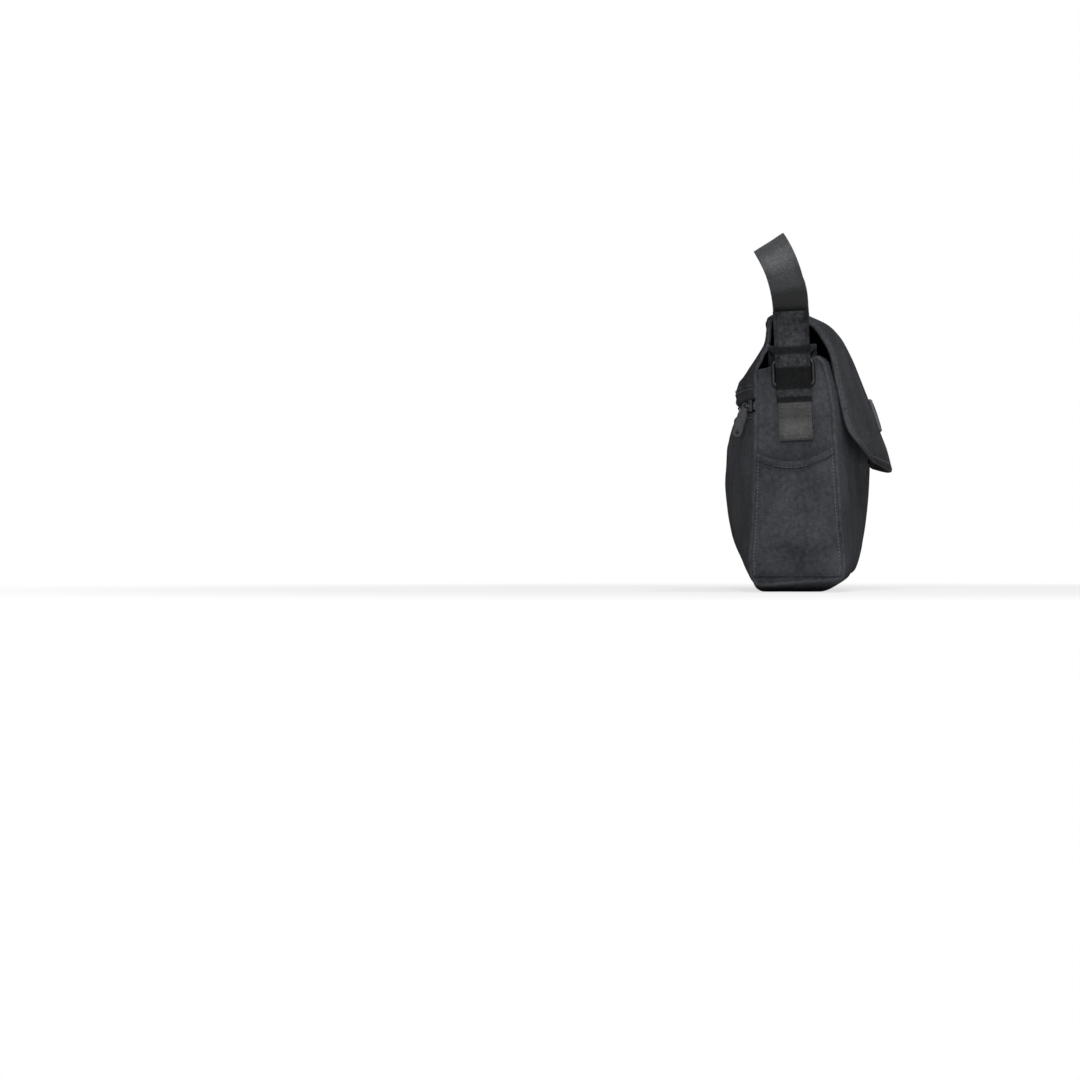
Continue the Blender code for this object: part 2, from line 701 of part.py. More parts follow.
def loop_radius():
    return BAR_RADIUS + BAR_CLEARANCE + WEBBING / 2


def outer_run():
    """The handle strap's outer run, from under the closure strap up to the bar."""
    radius = loop_radius()
    start = TAB + 2 * GAP + WEBBING / 2
    joint = (BAR_OUT + radius * math.cos(LOOP_FIRST), BAR_RISE + radius * math.sin(LOOP_FIRST))
    run = [(start + flare, HANDLE_START + rise) for flare, rise in HANDLE_FLARE]
    return run + [joint]


def handle_path():
    radius = loop_radius()
    path = smooth_path(outer_run(), 3)[:-1]
    for angle in steps(LOOP_FIRST, LOOP_LAST, 16):
        path.append((BAR_OUT + radius * math.cos(angle), BAR_RISE + radius * math.sin(angle)))
    inside = -(PANEL + TAB + 2 * GAP + WEBBING / 2)
    path += [(inside - 1.2 * MM, HANDLE_START + 6 * MM), (inside, HANDLE_START - 6 * MM)]
    return path + [(inside, INNER_FOOT)]


def overlay_path(first, last, count, offset):
    """A band that lies on the handle strap's outer run, from one rise to another."""
    run = smooth_path(outer_run(), 8)
    path = []
    for rise in steps(first, last, count):
        below = max(i for i in range(len(run) - 1) if run[i][1] <= rise or i == 0)
        low, high = run[below], run[below + 1]
        share = (rise - low[1]) / (high[1] - low[1])
        slope = (high[0] - low[0]) / (high[1] - low[1])
        out = low[0] + (high[0] - low[0]) * share
        path.append((out + offset * math.sqrt(1 + slope * slope), rise))
    return path


def closure_path():
    flat = GAP + WEBBING / 2
    over_ring = GAP + RING_WIRE + TAB + 2 * GAP + WEBBING / 2 + 0.1 * MM
    stack = WEBBING + 2 * TAPE + 3 * GAP
    path = [(flat, 0), (flat, PATCH_LENGTH - 3 * MM), (flat + 0.6 * MM, PATCH_LENGTH + 1 * MM)]
    path += [(over_ring - 0.6 * MM, PATCH_LENGTH + 6 * MM), (over_ring, PATCH_LENGTH + 9 * MM)]
    path += [(over_ring, PATCH_LENGTH + RING_COVER)]
    return path + overlay_path(HANDLE_START + 1 * MM, OVERLAP_END, 6, stack)


def tab_path():
    """The tab's band: inside the gusset, over its top edge, down outside and round the ring's top bar."""
    inner = -(PANEL + GAP + TAB / 2)
    outer = GAP + TAB / 2
    top_radius = (outer - inner) / 2
    middle = (outer + inner) / 2
    crown = TAB_TOP - top_radius - TAB / 2 - STRAP_FOOT
    bar_rise = RING_RISE + RING_HEIGHT / 2 - RING_WIRE / 2
    bar_out = GAP + RING_WIRE / 2
    wrap = RING_WIRE / 2 + GAP + TAB / 2
    path = [(inner, INNER_FOOT)]
    for angle in steps(math.pi, 0, 6):
        path.append((middle + top_radius * math.cos(angle), crown + top_radius * math.sin(angle)))
    path.append((outer, bar_rise + wrap + 1.5 * MM))
    for angle in steps(math.pi / 3, -math.pi / 2, 5):
        path.append((bar_out + wrap * math.cos(angle), bar_rise + wrap * math.sin(angle)))
    path += [(outer, bar_rise - wrap - 1.4 * MM), (outer, bar_rise - wrap - 4 * MM)]
    return path


def make_ring(name, side, material):
    builder = bmesh.new()
    half_width = (RING_WIDTH - RING_WIRE) / 2 - RING_CORNER
    half_height = (RING_HEIGHT - RING_WIRE) / 2 - RING_CORNER
    corners = ((1, 1), (-1, 1), (-1, -1), (1, -1))
    ring_depth, ring_height, lean = spine(RING_RISE)
    middle = Vector((side * (HALF_WIDTH + GAP + RING_WIRE / 2), -ring_depth, ring_height))
    forwards = Vector((0, -math.cos(lean), math.sin(lean)))
    upwards = Vector((0, math.sin(lean), math.cos(lean)))
    rings = []
    for quarter, (ahead, above) in enumerate(corners):
        corner = middle + forwards * half_width * ahead + upwards * half_height * above
        for angle in steps(quarter * math.pi / 2, (quarter + 1) * math.pi / 2, 3):
            outwards = forwards * math.cos(angle) + upwards * math.sin(angle)
            centre = corner + outwards * RING_CORNER
            ring = []
            for turn in range(8):
                around = turn * math.pi / 4
                offset = outwards * math.cos(around) + Vector((1, 0, 0)) * math.sin(around)
                ring.append(builder.verts.new(centre + offset * RING_WIRE / 2))
            rings.append(ring)
    for index, near in enumerate(rings):
        far = rings[(index + 1) % len(rings)]
        for i in range(8):
            j = (i + 1) % 8
            builder.faces.new((near[i], near[j], far[j], far[i]))
    add_object(name, builder, material)


def make_straps(webbing, tape, plastic):
    for end, side in (("near", -1), ("far", 1)):
        path = handle_path()
        ribbon("handle_strap_" + end, side, path, [STRAP_WIDTH] * len(path), WEBBING, webbing)
        path = closure_path()
        ribbon("closure_strap_" + end, side, path, [STRAP_WIDTH] * len(path), WEBBING, webbing)
        loop_offset = WEBBING / 2 + GAP + TAPE / 2
        hook_offset = loop_offset + TAPE + GAP
        for name, offset in (("loop_tape_", loop_offset), ("hook_tape_", hook_offset)):
            path = overlay_path(HANDLE_START + 2 * MM, OVERLAP_END - 2 * MM, 6, offset)
            ribbon(name + end, side, path, [STRAP_WIDTH - 3 * MM] * len(path), TAPE, tape)
        path = tab_path()
        widths = [TAB_WIDE] * TAB_WIDE_POINTS + [TAB_NARROW] * (len(path) - TAB_WIDE_POINTS)
        ribbon("ring_tab_" + end, side, path, widths, TAB, webbing)
        make_ring("ring_" + end, side, plastic)


def main():
    clear_scene()
    fabric = make_material("bag fabric", FABRIC, 0.85)
    dark = make_material("lining fabric", DARK_FABRIC, 0.9)
    webbing = make_material("webbing", WEBBING_COLOUR, 0.6)
    tape = make_material("hook and loop tape", DARK_FABRIC, 0.95)
    label = make_material("label", FABRIC, 0.5)
    metal = make_material("zip metal", METAL, 0.35, 0.8)
    plastic = make_material("ring plastic", PLASTIC, 0.3)
    board = make_material("base board", BOARD_COLOUR, 0.7)
    make_gussets(fabric)
    make_body(fabric)
    make_lining(dark)
    make_base_board(board)
    make_flap(fabric, dark)
    make_flap_patches(label, tape)
    make_zip_tapes(tape, plastic)
    make_slider(metal)
    make_pull(metal)
    make_zip_pocket_bag(dark)
    make_side_pockets(fabric)
    make_straps(webbing, tape, plastic)


main()
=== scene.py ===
import math

import bmesh
import bpy
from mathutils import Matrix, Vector, noise


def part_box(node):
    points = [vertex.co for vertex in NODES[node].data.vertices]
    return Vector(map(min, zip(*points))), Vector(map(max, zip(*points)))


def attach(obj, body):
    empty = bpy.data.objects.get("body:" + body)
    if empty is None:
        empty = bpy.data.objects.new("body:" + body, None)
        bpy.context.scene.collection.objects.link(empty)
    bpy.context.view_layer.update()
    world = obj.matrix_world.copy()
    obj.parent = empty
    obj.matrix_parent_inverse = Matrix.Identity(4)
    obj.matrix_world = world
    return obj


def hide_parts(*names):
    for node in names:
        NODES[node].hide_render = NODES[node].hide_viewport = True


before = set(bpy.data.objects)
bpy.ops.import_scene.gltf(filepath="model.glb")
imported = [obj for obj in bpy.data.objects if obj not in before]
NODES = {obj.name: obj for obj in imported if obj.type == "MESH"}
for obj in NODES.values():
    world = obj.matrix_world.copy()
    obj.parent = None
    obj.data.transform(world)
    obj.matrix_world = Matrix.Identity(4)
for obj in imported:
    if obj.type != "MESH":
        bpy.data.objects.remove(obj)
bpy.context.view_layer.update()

MM = 0.001

# Sizes that repeat the frame's own, and the cloth's own thicknesses and offsets
HALF_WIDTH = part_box("gusset_far")[1][0]
END_RISE = 30 * MM
# Waves of the padded cloth: size and height
WEAR = ((45 * MM, 0.9 * MM), (16 * MM, 0.35 * MM))
PANEL = 2.5 * MM
FLAP_HALF = HALF_WIDTH - 13 * MM
FLAP_CORNER = 28 * MM
FLAP_OUTER = 2.0 * MM
FLAP_EDGE_RAILS = 0.5
FLAP_DROOP = 70 * MM
# The flap's far end hangs lower over its end wall: how far, rail by rail
FAR_SAG = {3: 4 * MM, 4: 10 * MM, 5: 14 * MM, 6: 11 * MM, 7: 4 * MM}
FAR_SAG_START = 60 * MM
ZIP_HEIGHT = 127 * MM
ZIP_EDGE = 4.7 * MM  # from the zip's middle to the folded cloth on each side
BAND_LOW = 107 * MM
BAND_HIGH = 141 * MM
BACK_SEAM = -31.2 * MM
BACK_MIDDLE = -47.8 * MM
BACK_PUFF = 5.4 * MM
WELD = 0.01 * MM
LINING_WAVE = 0.12 * MM
LINING_BACK = 15 * MM
LINING_LEAN = 14 * MM
LINING_LEAN_RISE = 24 * MM
WEBBING = 1.4 * MM
STRAP_WIDTH = 25 * MM
STRAP_FOOT = 103 * MM
STRAP_DEPTH = -2.3 * MM
STRAP_LEAN = math.radians(2.5)
STRAP_STRAIGHT = 88 * MM
STRAP_BEND_RADIUS = 91 * MM
BAR_OUT = 8 * MM
BAR_RISE = 118.7 * MM
BAR_LOOP = 17.8 * MM
HANDLE_START = 61.5 * MM
# The far loop hangs a little straighter than the near one
FAR_LOOP_BACK = 2 * MM
LOOP_BACK_RISE = 35 * MM
FAR_LOOP_LEAN = 5 * MM
LOOP_LEAN_START = 100 * MM
LOOP_LEAN_RISE = 28 * MM
OVERLAP_END = 87.4 * MM
RING_RISE = 46 * MM
RING_WIDTH = 30 * MM
RING_HEIGHT = 19 * MM
RING_WIRE = 3 * MM
RING_CORNER = 2.5 * MM
TAB = 1.0 * MM
TAB_TOP = 168 * MM
POCKET_FLOOR = 10.5 * MM
POCKET_BACK = 94.5 * MM
POCKET_FRONT = 99 * MM
POCKET_SCOOP = 8 * MM
# Patches: places on the rails, insets of the two faces, widths
LABEL_PLACES = (8.5, 9.93)
LABEL_FACES = (-2.1 * MM, 0.1 * MM)
LABEL_WIDTH = 56 * MM
HOOK_PLACES = (10.2, 11.3)
HOOK_FACES = (3.1 * MM, 3.9 * MM)
LOOP_PLACES = (2.5, 3.2)
LOOP_FACES = (-1.1 * MM, 0.2 * MM)
FASTENER_WIDTH = 60 * MM
PATCH_LENGTH = 28 * MM

# Rails of the section: depth and height at the bag's end, then at mid width, in millimetres
FRONT_RAILS = [
    (13.6, 161, 28, 160), (18.5, 152, 34, 152), (23.5, 127, 43, 127), (25.4, 98, 47, 98),
    (28.6, 50, 44.5, 50), (31.0, 24, 40, 24), (30.5, 11.5, 34.5, 12),
]
BASE_RAILS = [(25, 7.5, 25, 4.5), (14, 6.5, 14, 0), (-6, 5, -6, 0), (-25, 3.7, -25, 0), (-32, 7, -34, 6)]
BACK_RAILS = [(-34.5, 20, -43, 22), (-33, 42, -51, 42), (-31.5, 75, -55.5, 75), (-31.2, 107, -47.8, 107)]
# The yoke and the top of the flap lean in here, as loose cloth does, up to 14 mm from the solids
YOKE_RAILS = [(-31.2, 141, -47.8, 141), (-30.9, 151, -42, 151), (-22.5, 169, -29, 169)]
FLAP_RAILS = [
    (-21.5, 180, -25.5, 182), (-18.5, 187, -25, 191), (-4, 188.5, -9, 195.3), (8, 184, 9.5, 189.8),
    (14.5, 175, 24, 182.2), (20.4, 162, 35, 164.5), (23.2, 144, 43.6, 144), (26.4, 127, 50.2, 127),
    (30.6, 112, 55, 112), (40, 98, 60.5, 98), (46, 85, 64, 84.5),
]
LOWER = FRONT_RAILS + BASE_RAILS + BACK_RAILS + YOKE_RAILS[:1]
UPPER = BACK_RAILS[-1:] + YOKE_RAILS
FLAP = YOKE_RAILS[1:] + FLAP_RAILS
# Places on the rails where one panel is sewn to the next
FRONT_END = 6
BASE_END = 11
BAND_RAIL = 15
FLAP_LAST = len(FLAP) - 1
FLAP_CORNER_RAIL = FLAP_LAST - 2
TANGENT_STEP = 0.02


# Section
def belly(x):
    return 1 - (x / HALF_WIDTH) ** 2


def smooth(share):
    share = min(max(share, 0.0), 1.0)
    return share * share * (3 - 2 * share)


def levelness(x):
    return 1 - smooth((abs(x) - (HALF_WIDTH - END_RISE)) / END_RISE)


def spline(points, at):
    index = min(int(at), len(points) - 2)
    t = at - index
    p1, p2 = points[index], points[index + 1]
    p0 = points[index - 1] if index > 0 else p1 * 2 - p2
    p3 = points[index + 2] if index + 2 < len(points) else p2 * 2 - p1
    curve = p1 * 2 + (p2 - p0) * t + (p0 * 2 - p1 * 5 + p2 * 4 - p3) * t ** 2
    return (curve + (p1 * 3 - p0 - p2 * 3 + p3) * t ** 3) / 2


def flap_levelness(x):
    """The flap reaches its rails' end heights at its own sides, which stop short of the bag's."""
    return 1 - smooth((abs(x) - FLAP_HALF + FLAP_DROOP) / FLAP_DROOP)


def section_point(rails, x, at, inset):
    share = belly(x)
    level = flap_levelness(x) if rails is FLAP else levelness(x)
    points = [Vector((a + (c - a) * share, b + (d - b) * level)) * MM for a, b, c, d in rails]
    if rails is FLAP and x > FAR_SAG_START:
        sag = smooth((x - FAR_SAG_START) / (FLAP_HALF - FAR_SAG_START))
        for rail, drop in FAR_SAG.items():
            points[rail].y -= drop * sag
    here = spline(points, at)
    ahead = spline(points, min(at + TANGENT_STEP, len(points) - 1))
    tangent = (ahead - spline(points, max(at - TANGENT_STEP, 0))).normalized()
    moved = here + Vector((tangent.y, -tangent.x)) * inset
    return Vector((x, -moved.x, moved.y))


def steps(first, last, count):
    return [first + (last - first) * i / count for i in range(count + 1)]


def wrinkle(point, size, seed):
    return noise.noise(Vector(point) / size + Vector((seed * 7.3, seed * 3.1, seed * 5.7)))


def wear(point, seed):
    """Slow unevenness of padded cloth: long waves and shorter ones."""
    return sum(height * wrinkle(point, size, seed + i) for i, (size, height) in enumerate(WEAR))


# Meshes
# A stitch's cross section along its length, from end to end
STITCH_PROFILE = ((0.0, 0.35), (0.2, 0.9), (0.5, 1.0), (0.8, 0.9), (1.0, 0.35))
STITCH_STEP = 0.1 * MM
THREAD_SIDES = 6


def grid_object(name, rows, lengths, closed=None, material=None):
    """A sheet from rows of points. With closed, the far face, its rim is sewn shut.

    Lengths are the width and either the length or one distance for each row.
    """
    builder = bmesh.new()
    uv = builder.loops.layers.uv.new("metres")
    layers = []
    for grid in ([rows, closed] if closed else [rows]):
        layers.append([[builder.verts.new(p) for p in row] for row in grid])
    width, runs = lengths
    if not isinstance(runs, list):
        runs = steps(0, runs, len(rows) - 1)
    for grid in layers:
        for i in range(len(grid) - 1):
            for j in range(len(grid[0]) - 1):
                face = builder.faces.new((grid[i][j], grid[i][j + 1], grid[i + 1][j + 1], grid[i + 1][j]))
                spots = ((i, j), (i, j + 1), (i + 1, j + 1), (i + 1, j))
                for loop, (a, b) in zip(face.loops, spots):
                    loop[uv].uv = (width * b / (len(grid[0]) - 1), runs[a])
    if closed:
        loops = []
        for grid in layers:
            right = [row[-1] for row in grid[1:]]
            left = [row[0] for row in grid[-2:0:-1]]
            loops.append(grid[0] + right + grid[-1][-2::-1] + left)
        count = len(loops[0])
        for i in range(count):
            j = (i + 1) % count
            builder.faces.new((loops[0][i], loops[0][j], loops[1][j], loops[1][i]))
    return finish_object(name, builder, material)


def finish_object(name, builder, material):
    bmesh.ops.recalc_face_normals(builder, faces=builder.faces)
    mesh = bpy.data.meshes.new(name)
    builder.to_mesh(mesh)
    builder.free()
    mesh.shade_smooth()
    mesh.materials.append(material)
    obj = bpy.data.objects.new(name, mesh)
    bpy.context.scene.collection.objects.link(obj)
    return obj


def placed(obj, body="bag", replaces=()):
    if replaces:
        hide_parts(*replaces)
    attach(obj, body)
    return obj


def skin(builder, rings):
    """A tube over rings of points, closed at both ends."""
    count = len(rings[0])
    for near, far in zip(rings, rings[1:]):
        for i in range(count):
            j = (i + 1) % count
            builder.faces.new((near[i], near[j], far[j], far[i]))
    builder.faces.new(rings[0][::-1])
    builder.faces.new(rings[-1])


def stitches(name, lines, length, gap, radius):
    """Thread stitches along lines of (point, outward normal)."""
    builder = bmesh.new()
    for line in lines:
        points = [point for point, _ in line]
        travelled = [0.0]
        for a, b in zip(points, points[1:]):
            travelled.append(travelled[-1] + (b - a).length)

        def at(distance):
            index = 0
            while index < len(points) - 2 and travelled[index + 1] < distance:
                index += 1
            span = max(travelled[index + 1] - travelled[index], 1e-9)
            share = (distance - travelled[index]) / span
            point = points[index].lerp(points[index + 1], share)
            return point, line[index][1].lerp(line[index + 1][1], share).normalized()

        here = gap / 2
        while here + length <= travelled[-1]:
            rings = []
            for share, bulge in STITCH_PROFILE:
                place = here + length * share
                point, normal = at(place)
                ahead, _ = at(min(place + STITCH_STEP, travelled[-1]))
                behind, _ = at(max(place - STITCH_STEP, 0))
                along = (ahead - behind).normalized()
                side = along.cross(normal).normalized()
                lift = radius * (0.15 + 0.5 * math.sin(share * math.pi))
                ring = []
                for turn in range(THREAD_SIDES):
                    angle = turn * 2 * math.pi / THREAD_SIDES
                    offset = side * math.cos(angle) + normal * math.sin(angle)
                    ring.append(builder.verts.new(point + normal * lift + offset * radius * bulge))
                rings.append(ring)
            skin(builder, rings)
            here += length + gap
    return placed(finish_object(name, builder, THREAD))


# Materials
# The weave's share of the relief, next to the fine noise, and the fine noise's share of the colour
WEAVE_SHARE = 0.35
FINE_SHARE = 0.55
FINE_SPREAD = 2.2
SLOW_SCALE = 28
RELIEF_DEPTH = 0.6


def math_node(nodes, operation, factor=None):
    node = nodes.new("ShaderNodeMath")
    node.operation = operation
    if factor is not None:
        node.inputs[1].default_value = factor
    return node


def set_inputs(node, **values):
    """Sets sockets by name, with a space for each underscore."""
    for name, value in values.items():
        node.inputs[name.replace("_", " ")].default_value = value


def noise_node(nodes, links, coords, scale, detail, roughness=0.5):
    node = nodes.new("ShaderNodeTexNoise")
    set_inputs(node, Scale=scale, Detail=detail, Roughness=roughness)
    links.new(coords, node.inputs["Vector"])
    return node


def two_colours(nodes, places, colours):
    ramp = nodes.new("ShaderNodeValToRGB")
    for element, place, colour in zip(ramp.color_ramp.elements, places, colours):
        element.position = place
        element.color = (*colour, 1)
    return ramp


def vary_roughness(nodes, links, source, low, high):
    spread = nodes.new("ShaderNodeMapRange")
    set_inputs(spread, To_Min=low, To_Max=high)
    links.new(source, spread.inputs["Value"])
    links.new(spread.outputs[0], nodes["Principled BSDF"].inputs["Roughness"])


def relief_node(nodes, links, height, strength, distance):
    relief = nodes.new("ShaderNodeBump")
    set_inputs(relief, Strength=strength, Distance=distance)
    links.new(height, relief.inputs["Height"])
    links.new(relief.outputs["Normal"], nodes["Principled BSDF"].inputs["Normal"])
    return relief


def new_material(name):
    material = bpy.data.materials.new(name)
    material.use_nodes = True
    return material, material.node_tree.nodes, material.node_tree.links


def zone_value(nodes, links, along, zones, column):
    """Turns a place along the strap into the value that its zone has in this column."""
    ramp = nodes.new("ShaderNodeValToRGB")
    ramp.color_ramp.interpolation = "LINEAR"
    elements = ramp.color_ramp.elements
    top = zones[-1][0]
    elements[0].position = zones[0][0] / top
    elements[1].position = 1.0
    for zone in zones[1:-1]:
        elements.new(zone[0] / top)
    for element in elements:
        zone = min(zones, key=lambda item: abs(item[0] / top - element.position))
        element.color = (zone[column], zone[column], zone[column], 1)
    scale = math_node(nodes, "DIVIDE", top)
    links.new(along, scale.inputs[0])
    links.new(scale.outputs[0], ramp.inputs[0])
    return ramp.outputs[0]


def weave_node(nodes, links, split, thread, twill):
    """The product of two waves, one for each direction of the threads."""
    phases = []
    for axis in ("X", "Y"):
        phase = math_node(nodes, "MULTIPLY", 2 * math.pi / thread)
        links.new(split.outputs[axis], phase.inputs[0])
        phases.append(phase)
    if twill:
        shift = math_node(nodes, "ADD")
        links.new(phases[1].outputs[0], shift.inputs[0])
        links.new(phases[0].outputs[0], shift.inputs[1])
        phases[1] = shift
    weave = math_node(nodes, "MULTIPLY")
    for phase, target in zip(phases, weave.inputs):
        wave = math_node(nodes, "SINE")
        links.new(phase.outputs[0], wave.inputs[0])
        links.new(wave.outputs[0], target)
    return weave


def cloth_material(
    name, colour, thread, rough, bump, sheen=0.0, grain=0.25, contrast=0.35, twill=False, zones=None,
    specular=0.1
):
    """A woven cloth. Thread is the weave's period in metres.

    Grain and contrast say how sharply the colour varies. Each zone is a place along a strap, its
    painted light and shade from 0 to 1, which multiplies the colour, and its relief from 0 to 1.
    """
    material, nodes, links = new_material(name)
    shader = nodes["Principled BSDF"]
    place = nodes.new("ShaderNodeTexCoord")
    split = nodes.new("ShaderNodeSeparateXYZ")
    links.new(place.outputs["UV"], split.inputs[0])
    weave = weave_node(nodes, links, split, thread, twill)
    fine = noise_node(nodes, links, place.outputs["Object"], 1 / (FINE_SPREAD * thread), 4, 0.7)
    slow = noise_node(nodes, links, place.outputs["Object"], SLOW_SCALE, 3)
    height = math_node(nodes, "MULTIPLY_ADD", WEAVE_SHARE)
    links.new(weave.outputs[0], height.inputs[0])
    links.new(fine.outputs["Fac"], height.inputs[2])
    relief = relief_node(nodes, links, height.outputs[0], bump, thread * RELIEF_DEPTH)
    shades = [[c * (1 - contrast) for c in colour], [c * (1 + contrast) for c in colour]]
    ramp = two_colours(nodes, (0.5 - grain, 0.5 + grain), shades)
    mix = math_node(nodes, "MULTIPLY_ADD", 1 - FINE_SHARE)
    part = math_node(nodes, "MULTIPLY", FINE_SHARE)
    links.new(fine.outputs["Fac"], part.inputs[0])
    links.new(slow.outputs["Fac"], mix.inputs[0])
    links.new(part.outputs[0], mix.inputs[2])
    links.new(mix.outputs[0], ramp.inputs[0])
    links.new(ramp.outputs[0], shader.inputs["Base Color"])
    # The zones paint light and shade along the strap: their shade column multiplies the colour.
    if zones:
        painted_light_mix = nodes.new("ShaderNodeMix")
        painted_light_mix.data_type = "RGBA"
        painted_light_mix.blend_type = "MULTIPLY"
        painted_light_mix.inputs["Factor"].default_value = 1.0
        links.new(ramp.outputs[0], painted_light_mix.inputs["A"])
        links.new(zone_value(nodes, links, split.outputs["Y"], zones, 1), painted_light_mix.inputs["B"])
        links.new(painted_light_mix.outputs["Result"], shader.inputs["Base Color"])
        links.new(zone_value(nodes, links, split.outputs["Y"], zones, 2), relief.inputs["Strength"])
    vary_roughness(nodes, links, fine.outputs["Fac"], max(rough - 0.12, 0), min(rough + 0.1, 1))
    set_inputs(shader, Sheen_Weight=sheen, Sheen_Roughness=0.45, Sheen_Tint=(0.75, 0.78, 0.85, 1))
    set_inputs(shader, Specular_IOR_Level=specular)
    return material


def hard_material(name, colour, rough, metallic=0.0, scratch=300):
    """A hard surface with fine wear. Scratch is how many marks there are in a metre."""
    material, nodes, links = new_material(name)
    place = nodes.new("ShaderNodeTexCoord")
    spots = noise_node(nodes, links, place.outputs["Object"], scratch, 5)
    shades = [[c * 0.75 for c in colour], [c * 1.3 for c in colour]]
    ramp = two_colours(nodes, (0.3, 0.75), shades)
    links.new(spots.outputs["Fac"], ramp.inputs[0])
    links.new(ramp.outputs[0], nodes["Principled BSDF"].inputs["Base Color"])
    vary_roughness(nodes, links, spots.outputs["Fac"], rough * 0.75, min(rough * 1.35, 1))
    relief_node(nodes, links, spots.outputs["Fac"], 0.06, 0.2 * MM)
    nodes["Principled BSDF"].inputs["Metallic"].default_value = metallic
    return material


FABRIC = cloth_material(
    "bag fabric", (0.052, 0.0545, 0.062), 1.4 * MM, 0.85, 0.8, sheen=0.02, grain=0.13, contrast=0.42
)
# A slightly lighter copy of the bag fabric: painted light for the flap, whose upper faces catch more of the
# light from above.
FLAP_FABRIC_PAINTED_LIGHTER = cloth_material(
    "flap fabric", (0.056, 0.058, 0.064), 1.4 * MM, 0.85, 0.8, sheen=0.02, grain=0.13, contrast=0.42
)
DARK = cloth_material("lining cloth", (0.030, 0.031, 0.034), 0.6 * MM, 0.85, 0.3, sheen=0.05)
# Place along the webbing, painted light and shade, and relief, from the end sewn under the closure strap
# The shade column is painted light: dark under the closure strap and where the strap leans out and faces
# down, a painted sheen highlight where it turns over the bar, darker again on the loop's far side.
HANDLE_PAINTED_SHADE_AND_RELIEF = (
    (0, 0.12, 0.2), (40 * MM, 0.12, 0.2), (46 * MM, 0.55, 1.0), (58 * MM, 0.7, 1.0), (66 * MM, 1.0, 0.4),
    (90 * MM, 0.95, 0.3), (110 * MM, 0.5, 0.3), (190 * MM, 0.4, 0.3),
)
HANDLE = cloth_material(
    "handle webbing", (0.060, 0.064, 0.068), 1.3 * MM, 0.40, 0.9, sheen=0.2, grain=0.16, contrast=0.4,
    zones=HANDLE_PAINTED_SHADE_AND_RELIEF, specular=0.35
)
STRAP = cloth_material(
    "webbing", (0.016, 0.021, 0.021), 1.3 * MM, 0.45, 0.9, sheen=0.1, contrast=0.5, twill=True
)
# Place up the strap, painted light and shade, and relief, from the fold over the stitched end to the strap's
# free end
# Most of the shade column is painted light: a painted shadow just above the fold, a painted highlight on it,
# dark where the strap faces down below the ring's bar, bright where it crests the bar.
CLOSURE_PAINTED_SHADE_AND_RELIEF = (
    (25 * MM, 0.25, 0.3), (29.5 * MM, 0.25, 0.3), (31 * MM, 1.0, 0.6), (33.5 * MM, 0.9, 0.6),
    (35 * MM, 0.16, 0.25), (49 * MM, 0.16, 0.25), (51 * MM, 0.95, 1.0), (57 * MM, 0.95, 1.0),
    (59 * MM, 0.2, 0.3), (63 * MM, 0.2, 0.3), (65 * MM, 0.9, 1.0), (87.4 * MM, 0.85, 1.0),
)
ROUGH = cloth_material(
    "loop faced webbing", (0.044, 0.047, 0.051), 1.3 * MM, 0.72, 1.0, grain=0.1, contrast=0.6,
    zones=CLOSURE_PAINTED_SHADE_AND_RELIEF
)
# The same for the stitched end, from its lower edge: darker at that edge, with a painted highlight across
# its lower middle and painted shade over its upper half
ENDING_PAINTED_SHADE_AND_RELIEF = (
    (0, 0.6, 0.8), (4 * MM, 0.85, 0.8), (10 * MM, 1.0, 0.7), (16 * MM, 0.62, 0.8), (21 * MM, 0.7, 0.8),
    (26 * MM, 0.8, 0.8),
)
ENDING = cloth_material(
    "webbing end", (0.092, 0.091, 0.09), 1.4 * MM, 0.6, 0.9, sheen=0.1, grain=0.16, contrast=0.34,
    zones=ENDING_PAINTED_SHADE_AND_RELIEF, specular=0.3
)
HOOKS = cloth_material("hook and loop", (0.012, 0.013, 0.014), 0.8 * MM, 0.95, 1.0, contrast=0.6)
ZIP_CLOTH = cloth_material("zip tape cloth", (0.020, 0.021, 0.023), 0.7 * MM, 0.75, 0.6, twill=True)
LABEL = cloth_material("label cloth", (0.13, 0.132, 0.135), 0.6 * MM, 0.5, 0.4)
THREAD = hard_material("sewing thread", (0.10, 0.103, 0.11), 0.55, scratch=2500)
METAL = hard_material("zip metal", (0.05, 0.052, 0.056), 0.45, 0.5)
COIL = hard_material("zip coil nylon", (0.022, 0.023, 0.025), 0.38, scratch=900)
RING = hard_material("ring plastic", (0.010, 0.0105, 0.011), 0.36, scratch=700)
BOARD = hard_material("board plastic", (0.03, 0.03, 0.03), 0.6)


# Body panels
# The cloth's face lies this far outside the solid's, its inner face this share of the panel inside
FACE_LIFT = 0.15 * MM
INNER_SHARE = 0.9
# Unevenness fades out towards an end seam over this reach
CALM = 12 * MM
GATHER_HEIGHT = 0.22 * MM
GATHER_PERIOD = 8.5 * MM
GATHER_REACH = 9 * MM
COLUMNS = 150
ACROSS_BAG = steps(-HALF_WIDTH, HALF_WIDTH, COLUMNS)
# The fold beside the zip's edge and the line of stitching next to it: depth and reach
ZIP_FOLD = (0.9 * MM, 0.8 * MM)
ZIP_LINE = (0.4 * MM, 1.0 * MM)
ZIP_LINE_PLACE = 4 * MM
BAND_CALM = 0.3
RAIL_SPACING = 12 * MM
PUFF_HEIGHT = 103 * MM
PUFF_REACH = 15 * MM
BACK_UV = 120 * MM


def seam_dip(distance, depth=0.6 * MM, reach=2.0 * MM):
    """Cloth turns inwards where it is sewn to its neighbour."""
    return depth * math.exp(-(distance / reach) ** 2)


